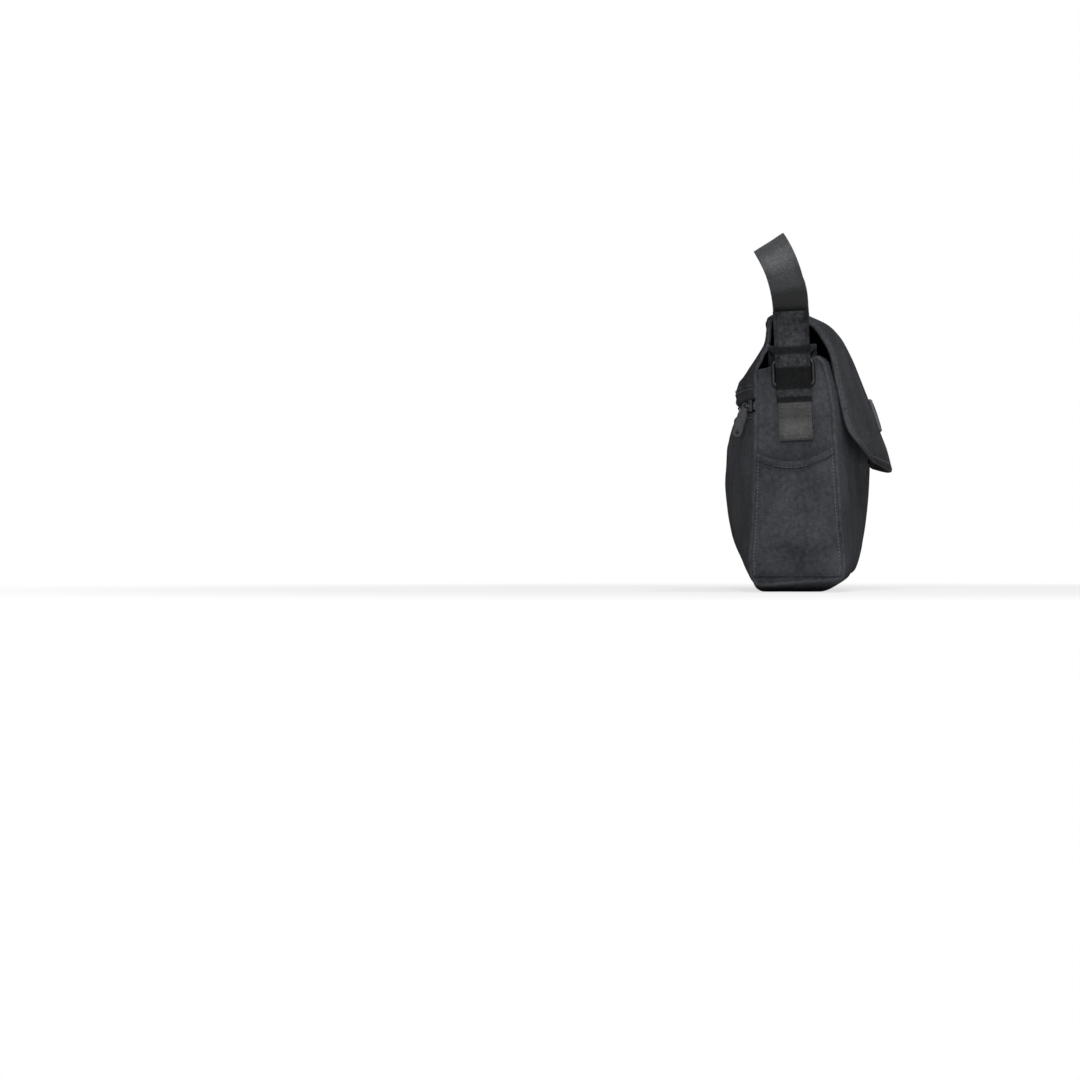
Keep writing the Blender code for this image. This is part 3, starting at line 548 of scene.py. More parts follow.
def pucker(along, distance):
    """Small gathers that run out from a seam, at uneven steps."""
    wave = math.sin(along * 2 * math.pi / GATHER_PERIOD + 2.1 * math.sin(along * 31))
    return GATHER_HEIGHT * wave * math.exp(-distance / GATHER_REACH)


def two_faces(rows, columns, spot):
    """Grids of the outer and the inner points that spot gives at each row and column."""
    pairs = [[spot(row, column) for column in columns] for row in rows]
    return [[[pair[face] for pair in row] for row in pairs] for face in (0, 1)]


def padded_cloth(node, faces, lengths):
    obj = grid_object(node + "_cloth", faces[0], lengths, faces[1], FABRIC)
    placed(obj, replaces=[node])


def wall(node, first, last, seed, rows):
    """A wall of the bag between two rails, with its end seams and its long seams turned in."""
    places = steps(first, last, rows)
    spine_points = [section_point(LOWER, 0, at, 0) for at in places]
    run = [0.0]
    for a, b in zip(spine_points, spine_points[1:]):
        run.append(run[-1] + (b - a).length)
    total = run[-1]

    def spot(row, x):
        at, here = row
        side = HALF_WIDTH - abs(x)
        dip = seam_dip(side) + pucker(here, side)
        dip += seam_dip(here) + pucker(x, here)
        dip += seam_dip(total - here) + pucker(x, total - here)
        point = section_point(LOWER, x, at, 0)
        dip -= wear(point, seed) * min(1, side / CALM) + FACE_LIFT
        face = section_point(LOWER, x, at, dip)
        face.z = max(face.z, 0.0)
        return face, section_point(LOWER, x, at, dip + PANEL * INNER_SHARE)

    faces = two_faces(zip(places, run), ACROSS_BAG, spot)
    padded_cloth(node, faces, (2 * HALF_WIDTH, total))


wall("front_panel", 0, FRONT_END, 1, rows=90)
wall("base_panel", FRONT_END, BASE_END, 2, rows=50)


def back_point(x, height, inset):
    depth = BACK_SEAM + (BACK_MIDDLE - BACK_SEAM) * belly(x)
    return Vector((x, -(depth + inset), height))


def back_wall(node, rails, first, last, band, seed, top):
    """Part of the back, with an upright stretch next to the zip whose edge is folded under.

    With top, that stretch is the wall's upper end.
    """
    rows = [("rail", at) for at in steps(first, last, 60)]
    band_rows = [("band", height) for height in steps(band[0], band[1], 16)]
    rows = rows[:-1] + band_rows if top else band_rows[:-1] + rows

    def place(row, x, inset):
        if row[0] == "rail":
            return section_point(rails, x, row[1], inset)
        return back_point(x, row[1], inset)

    def spot(row, x):
        kind, at = row
        side = HALF_WIDTH - abs(x)
        point = place(row, x, 0)
        dip = seam_dip(side) + pucker(point.z, side) - FACE_LIFT
        calm = BAND_CALM if kind == "band" else 1
        dip -= wear(point, seed) * min(1, side / CALM) * calm
        edge = abs(point.z - ZIP_HEIGHT) - ZIP_EDGE
        if kind == "band":
            dip += seam_dip(edge - ZIP_LINE_PLACE, *ZIP_LINE) + seam_dip(edge, *ZIP_FOLD)
        dip -= BACK_PUFF * belly(x) * math.exp(-((point.z - PUFF_HEIGHT) / PUFF_REACH) ** 2)
        if kind == "rail" and first == BASE_END:
            dip += seam_dip((at - BASE_END) * RAIL_SPACING)
        return place(row, x, dip), place(row, x, max(dip, 0) + PANEL * INNER_SHARE)

    padded_cloth(node, two_faces(rows, ACROSS_BAG, spot), (2 * HALF_WIDTH, BACK_UV))


back_wall("back_panel", LOWER, BASE_END, BAND_RAIL, (BAND_LOW, ZIP_HEIGHT - ZIP_EDGE), 3, top=True)
back_wall("back_yoke", UPPER, 1, 3, (ZIP_HEIGHT + ZIP_EDGE, BAND_HIGH), 4, top=False)


# The gusset lies inside its neighbours by this much. Its fold runs up near the back seam.
GUSSET_INSET = 0.9 * MM
GUSSET_SEAM = (0.9 * MM, 2 * MM)
FOLD_HEIGHT = 1.1 * MM
FOLD_PLACE = 0.09
FOLD_SPREAD = 0.05
FOLD_FOOT = 90 * MM
FOLD_RISE = 40 * MM
GUSSET_SIZE = (60 * MM, 155 * MM)
FLOOR_RAIL = FRONT_END + 3


def gusset_back(x, share):
    """The back seam: down the yoke, the stretch beside the zip, then the panel and half the base."""
    if share >= 1:
        return section_point(LOWER, x, BAND_RAIL - (share - 1), GUSSET_INSET)
    if share >= 0.5:
        return back_point(x, BAND_HIGH - (BAND_HIGH - BAND_LOW) * (share - 0.5) * 2, GUSSET_INSET)
    return section_point(UPPER, x, 2 - share * 2, GUSSET_INSET)


def gusset(node, side, seed):
    """An end wall: cross lines run from the back seam to the front seam."""
    lines = []
    for t in steps(0, 1, 90):
        front = section_point(LOWER, side * HALF_WIDTH, FLOOR_RAIL * t, GUSSET_INSET)
        lines.append((gusset_back(side * HALF_WIDTH, t * (BAND_RAIL - FLOOR_RAIL + 1)), front))

    def spot(line, across):
        back, front = line
        point = back.lerp(front, across)
        edge = min(across, 1 - across) * (front - back).length
        out = wear(point, seed) * 0.8 * smooth(edge / (8 * MM)) - seam_dip(edge, *GUSSET_SEAM)
        fold = FOLD_HEIGHT * math.exp(-((across - FOLD_PLACE) / FOLD_SPREAD) ** 2)
        fold *= smooth((point.z - FOLD_FOOT) / FOLD_RISE)
        point.x += side * (out + fold - 0.35 * MM)
        return point, Vector((side * (HALF_WIDTH - PANEL), point.y, point.z))

    padded_cloth(node, two_faces(lines, steps(0, 1, 60), spot), GUSSET_SIZE)


gusset("gusset_near", -1, 5)
gusset("gusset_far", 1, 6)


# Side pockets
# Height on the pocket and how far it stands off the gusset there, in millimetres
POCKET_STAND = (
    (10.5, 0.0), (14.5, 4.4), (22, 6.2), (27, 6.7), (33.5, 9.9), (38, 10.0), (52, 7.9), (70, 7.0), (99, 6.0),
)
HEM = 4.2 * MM
HEM_STEP = 0.9 * MM
CLOTH = 1.0 * MM
HEM_CLOTH = 1.7 * MM
POCKET_SIZE = (60 * MM, 90 * MM)
STITCH_LIFT = 0.05 * MM


def seam_at(first, last, height):
    """The depth of the end seam at this height, between two rails."""
    low, high = first, last
    rising = section_point(LOWER, HALF_WIDTH, last, 0).z > section_point(LOWER, HALF_WIDTH, first, 0).z
    for _ in range(26):
        middle = (low + high) / 2
        if (section_point(LOWER, HALF_WIDTH, middle, 0).z > height) == rising:
            high = middle
        else:
            low = middle
    return -section_point(LOWER, HALF_WIDTH, low, 0).y


def pocket_stand(height):
    """How far the pocket stands off the gusset: a full belly over a soft crease near its floor."""
    for (a, low), (b, high) in zip(POCKET_STAND, POCKET_STAND[1:]):
        if height <= b * MM:
            return (low + (high - low) * smooth((height - a * MM) / ((b - a) * MM))) * MM
    return POCKET_STAND[-1][1] * MM


def pocket_spot(side, across, up):
    brim = POCKET_BACK + (POCKET_FRONT - POCKET_BACK) * across - POCKET_SCOOP * 4 * across * (1 - across)
    height = POCKET_FLOOR + (brim - POCKET_FLOOR) * up
    front = seam_at(0, FRONT_END, height) - 2.2 * MM
    back = seam_at(BASE_END, BAND_RAIL, height) + 1.6 * MM
    depth = back + (front - back) * across
    crown = 1 - abs(2 * across - 1) ** 2.6
    out = 0.5 * MM + pocket_stand(height) * crown
    return Vector((side * (HALF_WIDTH + out), -depth, height)), brim - height, (front - back)


def side_pocket(name, side, seed):
    """A pocket with a doubled hem at its scooped brim. The rows lie closer at the hem."""

    def spot(up, across):
        point, below, width = pocket_spot(side, across, up)
        edge = min(across, 1 - across) * width
        out = wear(point, seed) * 0.8 * smooth(edge / (7 * MM))
        out -= seam_dip(edge - 1.8 * MM, 0.35 * MM, 0.8 * MM)
        thick = CLOTH
        if below < HEM:
            thick = HEM_CLOTH
            out += HEM_STEP
        out -= seam_dip(below - HEM - 0.4 * MM, 0.8 * MM, 0.8 * MM)
        out -= seam_dip(below, 0.7 * MM, 0.6 * MM)
        out -= seam_dip(point.z - POCKET_FLOOR, 0.3 * MM, 2 * MM)
        face = point + Vector((side * (out + thick), 0, 0))
        return face, Vector((max(abs(face.x) - thick, HALF_WIDTH + 0.1 * MM) * side, face.y, face.z))

    faces = two_faces(steps(0, 0.9, 70) + steps(0.905, 1.0, 18), steps(0, 1, 70), spot)
    padded_cloth(name, faces, POCKET_SIZE)
    outer = faces[0]
    out = Vector((side, 0, 0))
    count = len(outer[0]) - 1
    lines = []
    for column in (2, count - 2):
        lines.append([(row[column] + out * STITCH_LIFT, out) for row in outer[1:]])
    stitches(name + "_edge_stitches", lines, 1.5 * MM, 0.9 * MM, 0.4 * MM)
    hem = []
    for column in range(1, count):
        tall = outer[-1][column].z - HEM
        row = min(outer, key=lambda r: abs(r[column].z - tall))
        hem.append((row[column] + out * STITCH_LIFT, out))
    stitches(name + "_hem_stitches", [hem], 1.9 * MM, 0.8 * MM, 0.26 * MM)


side_pocket("side_pocket_near", -1, 7)
side_pocket("side_pocket_far", 1, 8)


# Flap
def flap_half(at):
    past = max(at - FLAP_CORNER_RAIL, 0) / 2
    return FLAP_HALF - FLAP_CORNER * (1 - math.sqrt(max(1 - past * past, 0)))


def flap_place(at, x):
    """The flap's lower edge is bowed: it climbs towards the sides."""
    past = max(at - FLAP_CORNER_RAIL, 0) / 2
    return at - FLAP_EDGE_RAILS * past * (x / FLAP_HALF) ** 2


FLAP_START = 0.985
FLAP_SPACING = 14 * MM
FLAP_SEAM = 4.5 * MM
FLAP_UV = 170 * MM
LINING_CLOTH = 0.8 * MM
LINING_GAP = 0.15 * MM
PINCH_REACH = 1.1 * MM


def flap_sheet(name, node, inset, thickness, material, seed):
    """One layer of the flap. The two layers are pinched together along the free edges."""
    outside = inset == 0
    places = [FLAP_START] + steps(1, FLAP_CORNER_RAIL, 90)[1:]
    places += [FLAP_CORNER_RAIL + 2 * math.sin(angle) for angle in steps(0, math.pi / 2, 30)[1:]]

    def spot(at, share):
        half = flap_half(at)
        x = half * share
        edge = min(half * (1 - abs(share)), (FLAP_LAST - at) * FLAP_SPACING)
        place = flap_place(at, x)
        dip = -wear(section_point(FLAP, x, place, 0), seed) * 1.1 * smooth(edge / FLAP_SPACING)
        dip += seam_dip(edge - FLAP_SEAM, 0.32 * MM, 0.8 * MM)
        dip += seam_dip(max((at - 1) * RAIL_SPACING, 0), 0.5 * MM, 1.2 * MM)
        pinch = 0.45 * thickness * math.exp(-(edge / PINCH_REACH) ** 2)
        front = inset + (dip + pinch if outside else dip * 0.4)
        back = inset + thickness + dip * 0.3 - (0 if outside else pinch)
        return section_point(FLAP, x, place, front), section_point(FLAP, x, place, back)

    outer, inner = two_faces(places, steps(-1, 1, COLUMNS), spot)
    obj = grid_object(name, outer, (2 * FLAP_HALF, FLAP_UV), inner, material)
    placed(obj, replaces=[node])
    return outer


flap_face = flap_sheet("flap_cloth", "flap_outer", 0, FLAP_OUTER, FLAP_FABRIC_PAINTED_LIGHTER, 9)
flap_sheet(
    "flap_lining_cloth", "flap_lining", FLAP_OUTER + LINING_GAP, LINING_CLOTH, DARK, 10
)


def face_normal(rows, i, j):
    i = min(max(i, 1), len(rows) - 2)
    j = min(max(j, 1), len(rows[0]) - 2)
    across = rows[i][j + 1] - rows[i][j - 1]
    along = rows[i + 1][j] - rows[i - 1][j]
    return along.cross(across).normalized()


def flap_stitches():
    """A row of top stitching inside the flap's free edges."""
    last = len(flap_face) - 1
    columns = len(flap_face[0]) - 1

    def near_edge(row, side):
        reach = range(columns // 2, -1, -1) if side < 0 else range(columns // 2, columns + 1)
        edge = row[0].x if side < 0 else row[-1].x
        return min(reach, key=lambda j: abs(abs(edge - row[j].x) - FLAP_SEAM))

    stop = last
    while (flap_face[last][columns // 2] - flap_face[stop][columns // 2]).length < FLAP_SEAM:
        stop -= 1
    spots = [(i, near_edge(flap_face[i], -1)) for i in range(3, stop)]
    spots += [(stop, j) for j in range(near_edge(flap_face[stop], -1), near_edge(flap_face[stop], 1))]
    spots += [(i, near_edge(flap_face[i], 1)) for i in range(stop, 3, -1)]
    line = [(flap_face[i][j], face_normal(flap_face, i, j)) for i, j in spots]
    outward = line[len(line) // 2][1]
    if outward.y > 0:
        line = [(point, -normal) for point, normal in line]
    stitches("flap_top_stitches", [line], 2.4 * MM, 1.0 * MM, 0.28 * MM)


flap_stitches()


def flap_patch(node, rails, places, width, faces, material, border=False):
    """A flat patch between two places on the rails. Faces are the insets of its two sides."""
    xs = steps(-width / 2, width / 2, 40)
    ats = steps(*places, 24)
    rows, back = [[[section_point(rails, x, at, face) for x in xs] for at in ats] for face in faces]
    count = len(rows) - 1
    for i, row in enumerate(rows):
        for j, point in enumerate(row):
            edge = min(i, count - i, j, len(row) - 1 - j)
            if edge == 0:
                row[j] = point.lerp(back[i][j], 0.35)
            if border and edge == 2:
                row[j] = point.lerp(back[i][j], 0.3)
    obj = grid_object(node + "_cloth", rows, (width, PATCH_LENGTH), back, material)
    placed(obj, replaces=[node])


flap_patch("label_patch", FLAP, LABEL_PLACES, LABEL_WIDTH, LABEL_FACES, LABEL, border=True)
flap_patch("flap_hook_patch", FLAP, HOOK_PLACES, FASTENER_WIDTH, HOOK_FACES, HOOKS)
flap_patch("front_loop_patch", LOWER, LOOP_PLACES, FASTENER_WIDTH, LOOP_FACES, HOOKS)


# Straps
# Distances from the gusset and heights on the strap where the handle strap bends
OUTER_CURVE = ((0, 0), (0.8 * MM, 12 * MM), (3.6 * MM, 25 * MM), (10.5 * MM, 38 * MM))
INNER_CURVE = ((1.2 * MM, HANDLE_START + 6 * MM), (0, HANDLE_START - 6 * MM), (0, 30 * MM))
WRAP_START = math.radians(-25)
WRAP_END = math.radians(188)
STRAP_GAP = 0.6 * MM
SEAM_GAP = 0.3 * MM
# The tapes and the closure strap over the handle strap: distance from its middle
LOOP_OFFSET = 1.4 * MM
HOOK_OFFSET = 2.5 * MM
CLOSURE_OFFSET = WEBBING + 2.5 * MM
TAPE_WIDTH = 22 * MM
TAPE_CLOTH = 0.8 * MM
FOLD_AT = 25.5 * MM
TAB_WIDTH = 33 * MM
TAB_NARROW = 21.4 * MM
TAB_WIDE_POINTS = 13


def spine(rise):
    """Depth, height and lean of the strap's middle line: straight, then bent back over the bar."""
    straight = min(rise, STRAP_STRAIGHT)
    depth = STRAP_DEPTH - straight * math.sin(STRAP_LEAN)
    height = STRAP_FOOT + straight * math.cos(STRAP_LEAN)
    lean = STRAP_LEAN
    if rise > STRAP_STRAIGHT:
        lean = STRAP_LEAN + (rise - STRAP_STRAIGHT) / STRAP_BEND_RADIUS
        depth -= STRAP_BEND_RADIUS * (math.cos(STRAP_LEAN) - math.cos(lean))
        height += STRAP_BEND_RADIUS * (math.sin(lean) - math.sin(STRAP_LEAN))
    return depth, height, lean


def smooth_path(points, per_span):
    vectors = [Vector(point) for point in points]
    path = []
    for index in range(len(vectors) - 1):
        path += [tuple(spline(vectors, index + step / per_span)) for step in range(per_span)]
    return path + [tuple(vectors[-1])]


# Where the points lie across the webbing, closer together at the selvedge
ACROSS = (0.5, 0.485, 0.45, 0.42, 0.40, 0.38, 0.3, 0.15)
SHARES = [-share for share in ACROSS] + [0] + list(ACROSS[::-1])
SELVEDGE = 0.12 * MM
SELVEDGE_PLACE = 0.10
SELVEDGE_SPREAD = 0.018


def ribbon(name, side, path, widths, thickness, material, node, seed, ridge=SELVEDGE, by_rise=False):
    """Webbing: a flat band with a raised selvedge line near each edge, and soft waves along it.

    The path gives how far the band lies outside the gusset and how high on the strap. With by_rise,
    the material's zones follow that height and not the band's own length.
    """
    centres, across = [], []
    for out, rise in path:
        depth, height, lean = spine(rise)
        if side > 0:
            depth -= FAR_LOOP_BACK * smooth((rise - HANDLE_START) / LOOP_BACK_RISE)
            depth += FAR_LOOP_LEAN * smooth((rise - LOOP_LEAN_START) / LOOP_LEAN_RISE)
        centres.append(Vector((side * (HALF_WIDTH + out), -depth, height)))
        across.append(Vector((0, -math.cos(lean), math.sin(lean))))
    last = len(centres) - 1
    face, back, runs = [], [], []
    run = 0.0
    for i, centre in enumerate(centres):
        if i:
            run += (centre - centres[i - 1]).length
        tangent = (centres[min(i + 1, last)] - centres[max(i - 1, 0)]).normalized()
        normal = tangent.cross(across[i]).normalized()
        runs.append(path[i][1] if by_rise else run)
        row, under = [], []
        for share in SHARES:
            edge = 0.5 - abs(share)
            half = thickness / 2 * (0.55 + 0.45 * smooth(edge / 0.02))
            line = ridge * math.exp(-((edge - SELVEDGE_PLACE) / SELVEDGE_SPREAD) ** 2)
            wave = 0.25 * MM * noise.noise(Vector((run * 60, share * 2.0, seed)))
            wave += 0.12 * MM * noise.noise(Vector((run * 160, share * 5.0, seed + 3)))
            point = centre + across[i] * widths[i] * share + normal * wave
            row.append(point + normal * (half + line))
            under.append(point - normal * half)
        face.append(row)
        back.append(under)
    obj = grid_object(name, face, (widths[0], runs), back, material)
    placed(obj, replaces=[node] if node else ())
    return face, back


def round_bar(angle):
    return BAR_OUT + BAR_LOOP * math.cos(angle), BAR_RISE + BAR_LOOP * math.sin(angle)


def outer_run():
    """The handle strap's outer side, from its end under the closure strap up to the bar."""
    start = TAB + STRAP_GAP + WEBBING / 2
    return [(start + out, HANDLE_START + rise) for out, rise in OUTER_CURVE] + [round_bar(WRAP_START)]


def handle_path():
    path = smooth_path(outer_run(), 10)[:-1]
    path += [round_bar(angle) for angle in steps(WRAP_START, WRAP_END, 60)]
    inside = -(PANEL + TAB + STRAP_GAP + WEBBING / 2)
    tail = [path[-1]] + [(inside - out, rise) for out, rise in INNER_CURVE]
    return path[:-1] + smooth_path(tail, 10)


def overlay(rises, offset):
    """A path that lies over the handle strap at these heights."""
    run = smooth_path(outer_run(), 12)
    path = []
    for rise in rises:
        below = max([i for i in range(len(run) - 1) if run[i][1] <= rise] or [0])
        low, high = run[below], run[below + 1]
        slope = (high[0] - low[0]) / (high[1] - low[1])
        path.append((low[0] + slope * (rise - low[1]) + offset * math.sqrt(1 + slope * slope), rise))
    return path


def closure_runs():
    """From the stitched end, over the ring and its tab, and up over the handle strap."""
    flat = SEAM_GAP + WEBBING / 2
    over = flat + RING_WIRE + TAB + STRAP_GAP + 0.1 * MM
    knots = [(flat, 0), (flat, 24 * MM), (flat + 0.6 * MM, 28 * MM)]
    knots += [(over - 0.6 * MM, 33 * MM), (over, 36 * MM), (over, 57 * MM)]
    rises = [HANDLE_START + rise * MM for rise in (1, 9, 18)] + [OVERLAP_END]
    return smooth_path(knots + overlay(rises, CLOSURE_OFFSET), 12)


def tab_path():
    """From the inside over the gusset's top, down the outside and round the ring's upper bar."""
    inner = -(PANEL + SEAM_GAP + TAB / 2)
    outer = SEAM_GAP + TAB / 2
    radius = (outer - inner) / 2
    middle = (outer + inner) / 2
    crown = TAB_TOP - radius - TAB / 2 - STRAP_FOOT
    bar_rise = RING_RISE + RING_HEIGHT / 2 - RING_WIRE / 2
    bar_out = SEAM_GAP + RING_WIRE / 2
    wrap = RING_WIRE / 2 + SEAM_GAP + TAB / 2
    path = [(inner, 32 * MM), (inner, 48 * MM)]
    path += [(middle + radius * math.cos(a), crown + radius * math.sin(a)) for a in steps(math.pi, 0, 10)]
    path += [(outer, bar_rise + wrap + 1.5 * MM)]
    turn = steps(math.pi / 3, -math.pi / 2, 10)
    path += [(bar_out + wrap * math.cos(a), bar_rise + wrap * math.sin(a)) for a in turn]
    return path + [(outer, bar_rise - wrap - 1.4 * MM), (outer, bar_rise - wrap - 4 * MM)]


def strap_stitches(name, face, side, rows, columns):
    out = Vector((side, 0, 0))
    lines = [[(face[i][j], out) for i in range(i0, i1)] for i0, i1, j in rows]
    lines += [[(face[i][j], out) for j in range(j0, j1)] for i, j0, j1 in columns]
    stitches(name, lines, 2.0 * MM, 0.9 * MM, 0.3 * MM)


def ring(name, side, node):
    builder = bmesh.new()
    half_width = (RING_WIDTH - RING_WIRE) / 2 - RING_CORNER
    half_height = (RING_HEIGHT - RING_WIRE) / 2 - RING_CORNER
    corners = ((1, 1), (-1, 1), (-1, -1), (1, -1))
    depth0, height0, lean = spine(RING_RISE)
    middle = Vector((side * (HALF_WIDTH + SEAM_GAP + RING_WIRE / 2), -depth0, height0))
    forwards = Vector((0, -math.cos(lean), math.sin(lean)))
    upwards = Vector((0, math.sin(lean), math.cos(lean)))
    rings = []
    for quarter, (a, b) in enumerate(corners):
        for angle in steps(quarter * math.pi / 2, (quarter + 1) * math.pi / 2, 10):
            outwards = forwards * math.cos(angle) + upwards * math.sin(angle)
            centre = middle + forwards * a * half_width + upwards * b * half_height + outwards * RING_CORNER
            turns = [turn * math.pi / 10 for turn in range(20)]
            offsets = [outwards * math.cos(t) + Vector((1, 0, 0)) * math.sin(t) for t in turns]
            rings.append([builder.verts.new(centre + offset * RING_WIRE / 2) for offset in offsets])
    for index, near in enumerate(rings):
        far = rings[(index + 1) % len(rings)]
        for i in range(20):
            j = (i + 1) % 20
            builder.faces.new((near[i], near[j], far[j], far[i]))
    placed(finish_object(name, builder, RING), replaces=[node])


def closure_strap(end, side):
    """The strap over the ring is one piece with its lower end, which is of a lighter weave."""
    whole = closure_runs()
    fold = next(i for i, (out, rise) in enumerate(whole) if rise > FOLD_AT)
    upper, lower = whole[fold:], whole[:fold + 1]
    ribbon("closure_strap_%s_webbing" % end, side, upper, [STRAP_WIDTH * 0.96] * len(upper), WEBBING,
           ROUGH, "closure_strap_" + end, 13, by_rise=True)
    faces = ribbon("closure_end_%s_webbing" % end, side, lower, [STRAP_WIDTH * 0.9] * len(lower),
                   WEBBING * 1.15, ENDING, None, 15)
    front = max(faces, key=lambda face: face[2][8].x * side)
    count = len(front) - 1
    strap_stitches("closure_end_%s_stitches" % end, front, side,
                   [(2, count - 2, 3), (2, count - 2, 13)], [(2, 2, 15), (count - 3, 2, 15)])


def straps(end, side):
    path = handle_path()
    ribbon("handle_strap_%s_webbing" % end, side, path, [STRAP_WIDTH * 0.95] * len(path), WEBBING,
           HANDLE, "handle_strap_" + end, 11)
    closure_strap(end, side)
    path = tab_path()
    widths = [TAB_WIDTH] * TAB_WIDE_POINTS + [TAB_NARROW] * (len(path) - TAB_WIDE_POINTS)
    ribbon("ring_tab_%s_webbing" % end, side, path, widths, TAB, STRAP, "ring_tab_" + end, 17,
           ridge=0)
    for kind, offset, seed in (("loop_tape_", LOOP_OFFSET, 19), ("hook_tape_", HOOK_OFFSET, 21)):
        path = overlay(steps(HANDLE_START + 2 * MM, OVERLAP_END - 2 * MM, 20), offset)
        ribbon(kind + end + "_cloth", side, path, [TAPE_WIDTH] * len(path), TAPE_CLOTH, HOOKS,
               kind + end, seed, ridge=0)
    ring("ring_%s_moulded" % end, side, "ring_" + end)


straps("near", -1)
straps("far", 1)


# Zip
# The tapes' edges are measured from the zip's middle, their faces from the outside of the back
TAPE_NEAR = 0.8 * MM
TAPE_FAR = 12.8 * MM
TAPE_REACH = HALF_WIDTH - 3.1 * MM
TAPE_FACES = (2.8 * MM, 3.6 * MM)
# The coil's loops: half their depth and half their height, and half the wire's width and thickness
COIL_REACH = HALF_WIDTH - 10.5 * MM
COIL_PITCH = 1.3 * MM
COIL_OFFSET = 1.75 * MM
COIL_INSET = 1.85 * MM
COIL_SHIFT = 0.35 * MM
COIL_HALF = (0.42 * MM, 0.85 * MM)
COIL_WIRE = (0.42 * MM, 0.2 * MM)
# Lines of stitching, from the zip's middle
ZIP_SEAMS = (-8.2 * MM, -10.6 * MM, 11.4 * MM, 13.8 * MM)
ZIP_SEAM_END = 4 * MM


def zip_tape(node, heights):
    xs = steps(-TAPE_REACH, TAPE_REACH, 120)
    levels = steps(*heights, 12)
    face, back = [[[back_point(x, height, inset) for x in xs] for height in levels] for inset in TAPE_FACES]
    obj = grid_object(node + "_cloth", face, (2 * TAPE_REACH, TAPE_FAR - TAPE_NEAR), back, ZIP_CLOTH)
    placed(obj, replaces=[node])


def coil(name, side, node):
    """One half of the zip: nylon loops along the tape's edge."""
    builder = bmesh.new()
    for index in range(int(2 * COIL_REACH / COIL_PITCH)):
        x = -COIL_REACH + (index + 0.5) * COIL_PITCH
        centre = back_point(x, ZIP_HEIGHT + side * COIL_OFFSET, COIL_INSET)
        rings = []
        for step in range(9):
            angle = math.pi * step / 8 - math.pi / 2
            height = side * (COIL_SHIFT - math.cos(angle) * COIL_HALF[1])
            depth = math.sin(angle) * COIL_HALF[0]
            ring = []
            for turn in range(THREAD_SIDES):
                around = turn * 2 * math.pi / THREAD_SIDES
                ring.append(builder.verts.new(centre + Vector((
                    math.sin(around) * COIL_WIRE[0],
                    -depth + math.cos(around) * COIL_WIRE[1],
                    height + math.cos(around) * COIL_WIRE[1] * side,
                ))))
            rings.append(ring)
        skin(builder, rings)
    placed(finish_object(name, builder, COIL), replaces=[node])


zip_tape("zip_tape_lower", (ZIP_HEIGHT - TAPE_FAR, ZIP_HEIGHT - TAPE_NEAR))
zip_tape("zip_tape_upper", (ZIP_HEIGHT + TAPE_NEAR, ZIP_HEIGHT + TAPE_FAR))
coil("zip_coil_lower_loops", -1, "zip_coil_lower")
coil("zip_coil_upper_loops", 1, "zip_coil_upper")


def zip_stitches():
    out = Vector((0, 1, 0))
    lines = []
    xs = steps(-HALF_WIDTH + ZIP_SEAM_END, HALF_WIDTH - ZIP_SEAM_END, 120)
    for rise in ZIP_SEAMS:
        lines.append([(back_point(x, ZIP_HEIGHT + rise, -0.15 * MM), out) for x in xs])
    stitches("zip_stitches", lines, 2.2 * MM, 1.0 * MM, 0.26 * MM)


zip_stitches()


def finish_node(name, material, bevel=0.0):
    node = NODES[name]
    node.data.materials.clear()
    node.data.materials.append(material)
    if bevel:
        weld = node.modifiers.new("weld", "WELD")
        weld.merge_threshold = WELD
        round_off = node.modifiers.new("rounding", "BEVEL")
        round_off.width = bevel
        round_off.segments = 3
        round_off.limit_method = "ANGLE"
        round_off.angle_limit = math.radians(40)
        round_off.harden_normals = True


finish_node("zip_slider", METAL, 0.18 * MM)
finish_node("zip_pull", METAL, 0.22 * MM)
finish_node("zip_stop_start", METAL, 0.2 * MM)
finish_node("zip_stop_end", METAL, 0.2 * MM)
finish_node("base_board", BOARD)


# Lining
def lining(node):
    """The frame's own shape with the softness of thin cloth. Its back leans in under the yoke."""
    builder = bmesh.new()
    builder.from_mesh(NODES[node].data)
    bmesh.ops.remove_doubles(builder, verts=builder.verts, dist=WELD)
    bmesh.ops.subdivide_edges(builder, edges=builder.edges, cuts=2, use_grid_fill=True)
    for vertex in builder.verts:
        vertex.co.y += LINING_WAVE * wrinkle(vertex.co, 0.02, 23)
        if vertex.co.y > LINING_BACK:
            vertex.co.y -= LINING_LEAN * smooth((vertex.co.z - BAND_HIGH) / LINING_LEAN_RISE)
    placed(finish_object(node + "_cloth", builder, DARK), replaces=[node])


lining("main_lining")
lining("zip_pocket_bag")


# Studio
FLOOR_REACH = 12.0
FLOOR_SHADE = 0.25
FLOOR_FADE = 0.75
FLOOR_DIM = 0.72
WORLD_LIGHT = 0.045
# Each light: name, place, target, power and size
LIGHTS = (
    ("key", (-2.9, 0.0, 1.6), (-0.1, 0, 0.12), 52, 0.5),
    ("fill", (-3.2, 0.1, 0.15), (-0.1, 0, 0.10), 8, 0.5),
    ("top", (-0.6, 0.0, 2.0), (0, 0, 0.1), 5, 0.6),
    ("front", (-0.8, -1.1, 2.9), (0, 0, 0.12), 32, 0.6),
)

# The photo is square. A pixel of it is this big at the near end of the bag, and the bag's own
# origin, at its near end, lies at this pixel.
PHOTO_PIXELS = 1080
PIXEL = 0.68 * MM
ORIGIN_PIXEL = (800, 592)
CAMERA_DISTANCE = 3.0
CAMERA_DEPTH = 46 * MM
CAMERA_HEIGHT = 30 * MM
SENSOR = 36.0


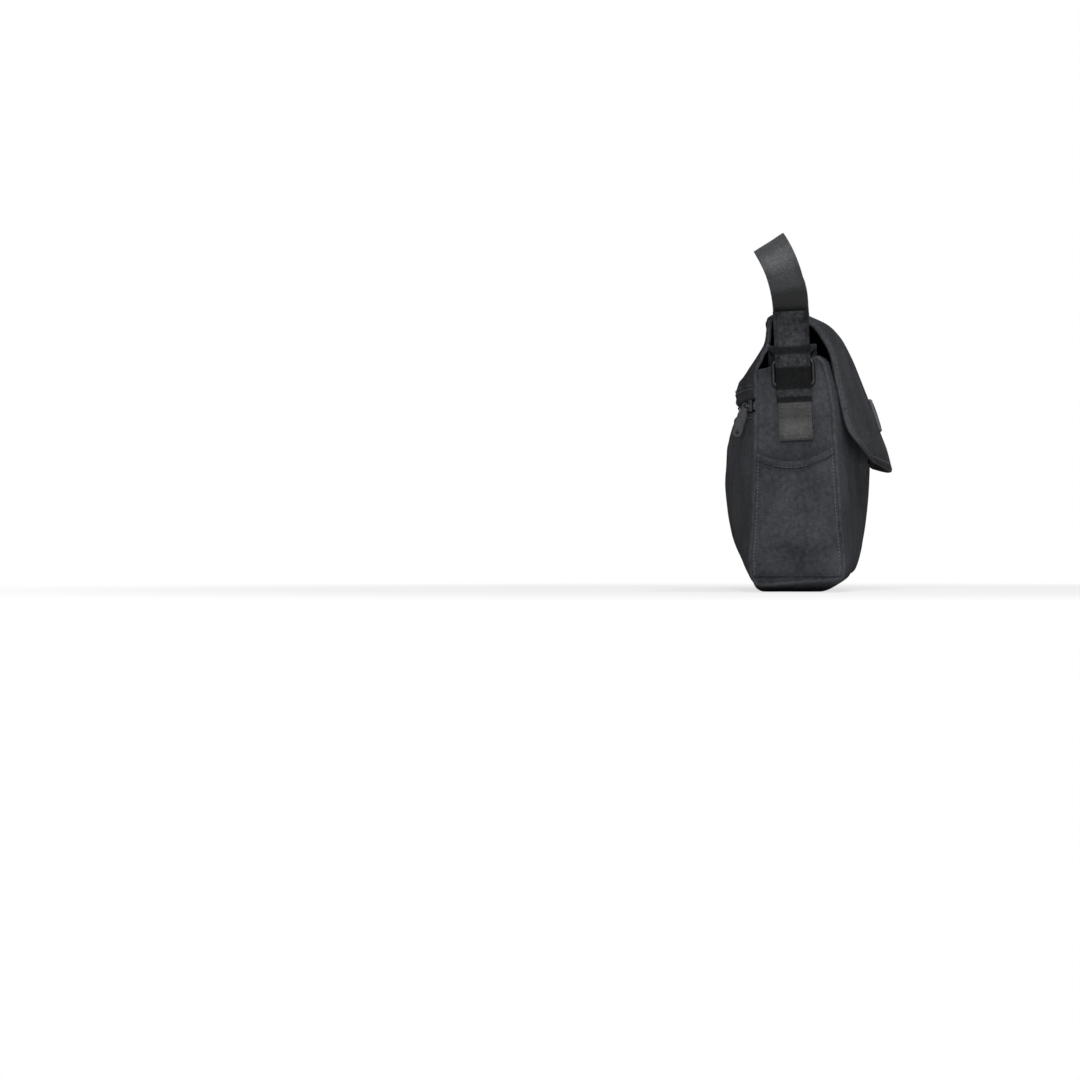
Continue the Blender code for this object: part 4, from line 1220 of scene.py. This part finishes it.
def look_at(obj, target):
    obj.rotation_euler = (Vector(target) - obj.location).to_track_quat("-Z", "Y").to_euler()


def floor_material():
    """A pale floor that turns plain white towards the distance, for the camera alone."""
    material, nodes, links = new_material("pale floor")
    shader = nodes["Principled BSDF"]
    set_inputs(shader, Base_Color=(0.9, 0.9, 0.9, 1), Roughness=0.9)
    white = nodes.new("ShaderNodeEmission")
    coords = nodes.new("ShaderNodeTexCoord")
    length = nodes.new("ShaderNodeVectorMath")
    length.operation = "LENGTH"
    links.new(coords.outputs["Object"], length.inputs[0])
    fade = nodes.new("ShaderNodeMapRange")
    fade.interpolation_type = "SMOOTHSTEP"
    set_inputs(fade, From_Min=FLOOR_SHADE, From_Max=FLOOR_FADE, To_Min=FLOOR_DIM)
    links.new(length.outputs["Value"], fade.inputs["Value"])
    path = nodes.new("ShaderNodeLightPath")
    seen = math_node(nodes, "MULTIPLY")
    links.new(path.outputs["Is Camera Ray"], seen.inputs[0])
    links.new(fade.outputs[0], seen.inputs[1])
    mix = nodes.new("ShaderNodeMixShader")
    links.new(seen.outputs[0], mix.inputs[0])
    links.new(shader.outputs[0], mix.inputs[1])
    links.new(white.outputs[0], mix.inputs[2])
    links.new(mix.outputs[0], nodes["Material Output"].inputs["Surface"])
    return material


def make_floor():
    mesh = bpy.data.meshes.new("floor")
    reach = FLOOR_REACH
    corners = [(-reach, -reach, 0), (reach, -reach, 0), (reach, reach, 0), (-reach, reach, 0)]
    mesh.from_pydata(corners, [], [(0, 1, 2, 3)])
    mesh.materials.append(floor_material())
    floor = bpy.data.objects.new("floor", mesh)
    floor.location.z = -0.3 * MM
    bpy.context.scene.collection.objects.link(floor)


def make_world():
    """White for the camera, a weak even light for the rest."""
    world = bpy.data.worlds.new("studio")
    bpy.context.scene.world = world
    world.use_nodes = True
    nodes = world.node_tree.nodes
    links = world.node_tree.links
    background = nodes["Background"]
    background.inputs["Color"].default_value = (1, 1, 1, 1)
    path = nodes.new("ShaderNodeLightPath")
    seen = math_node(nodes, "MAXIMUM")
    links.new(path.outputs["Is Camera Ray"], seen.inputs[0])
    links.new(path.outputs["Is Transmission Ray"], seen.inputs[1])
    strength = nodes.new("ShaderNodeMapRange")
    set_inputs(strength, To_Min=WORLD_LIGHT, To_Max=1.0)
    links.new(seen.outputs[0], strength.inputs["Value"])
    links.new(strength.outputs[0], background.inputs["Strength"])


def make_lights():
    for name, place, target, power, extent in LIGHTS:
        lamp = bpy.data.lights.new(name, "AREA")
        lamp.energy = power
        lamp.size = extent
        light = bpy.data.objects.new(name, lamp)
        light.location = place
        bpy.context.scene.collection.objects.link(light)
        look_at(light, target)


def make_camera():
    data = bpy.data.cameras.new("camera")
    data.sensor_width = SENSOR
    data.lens = SENSOR * CAMERA_DISTANCE / (PHOTO_PIXELS * PIXEL)
    data.clip_end = 50
    obj = bpy.data.objects.new("camera", data)
    bpy.context.scene.collection.objects.link(obj)
    obj.location = (-HALF_WIDTH - CAMERA_DISTANCE, -CAMERA_DEPTH, CAMERA_HEIGHT)
    depth = (PHOTO_PIXELS / 2 - ORIGIN_PIXEL[0]) * PIXEL
    height = (ORIGIN_PIXEL[1] - PHOTO_PIXELS / 2) * PIXEL
    look_at(obj, (-HALF_WIDTH, -depth, height))
    bpy.context.scene.camera = obj


make_world()
make_floor()
make_lights()
make_camera()
bpy.context.scene.view_settings.view_transform = "Standard"
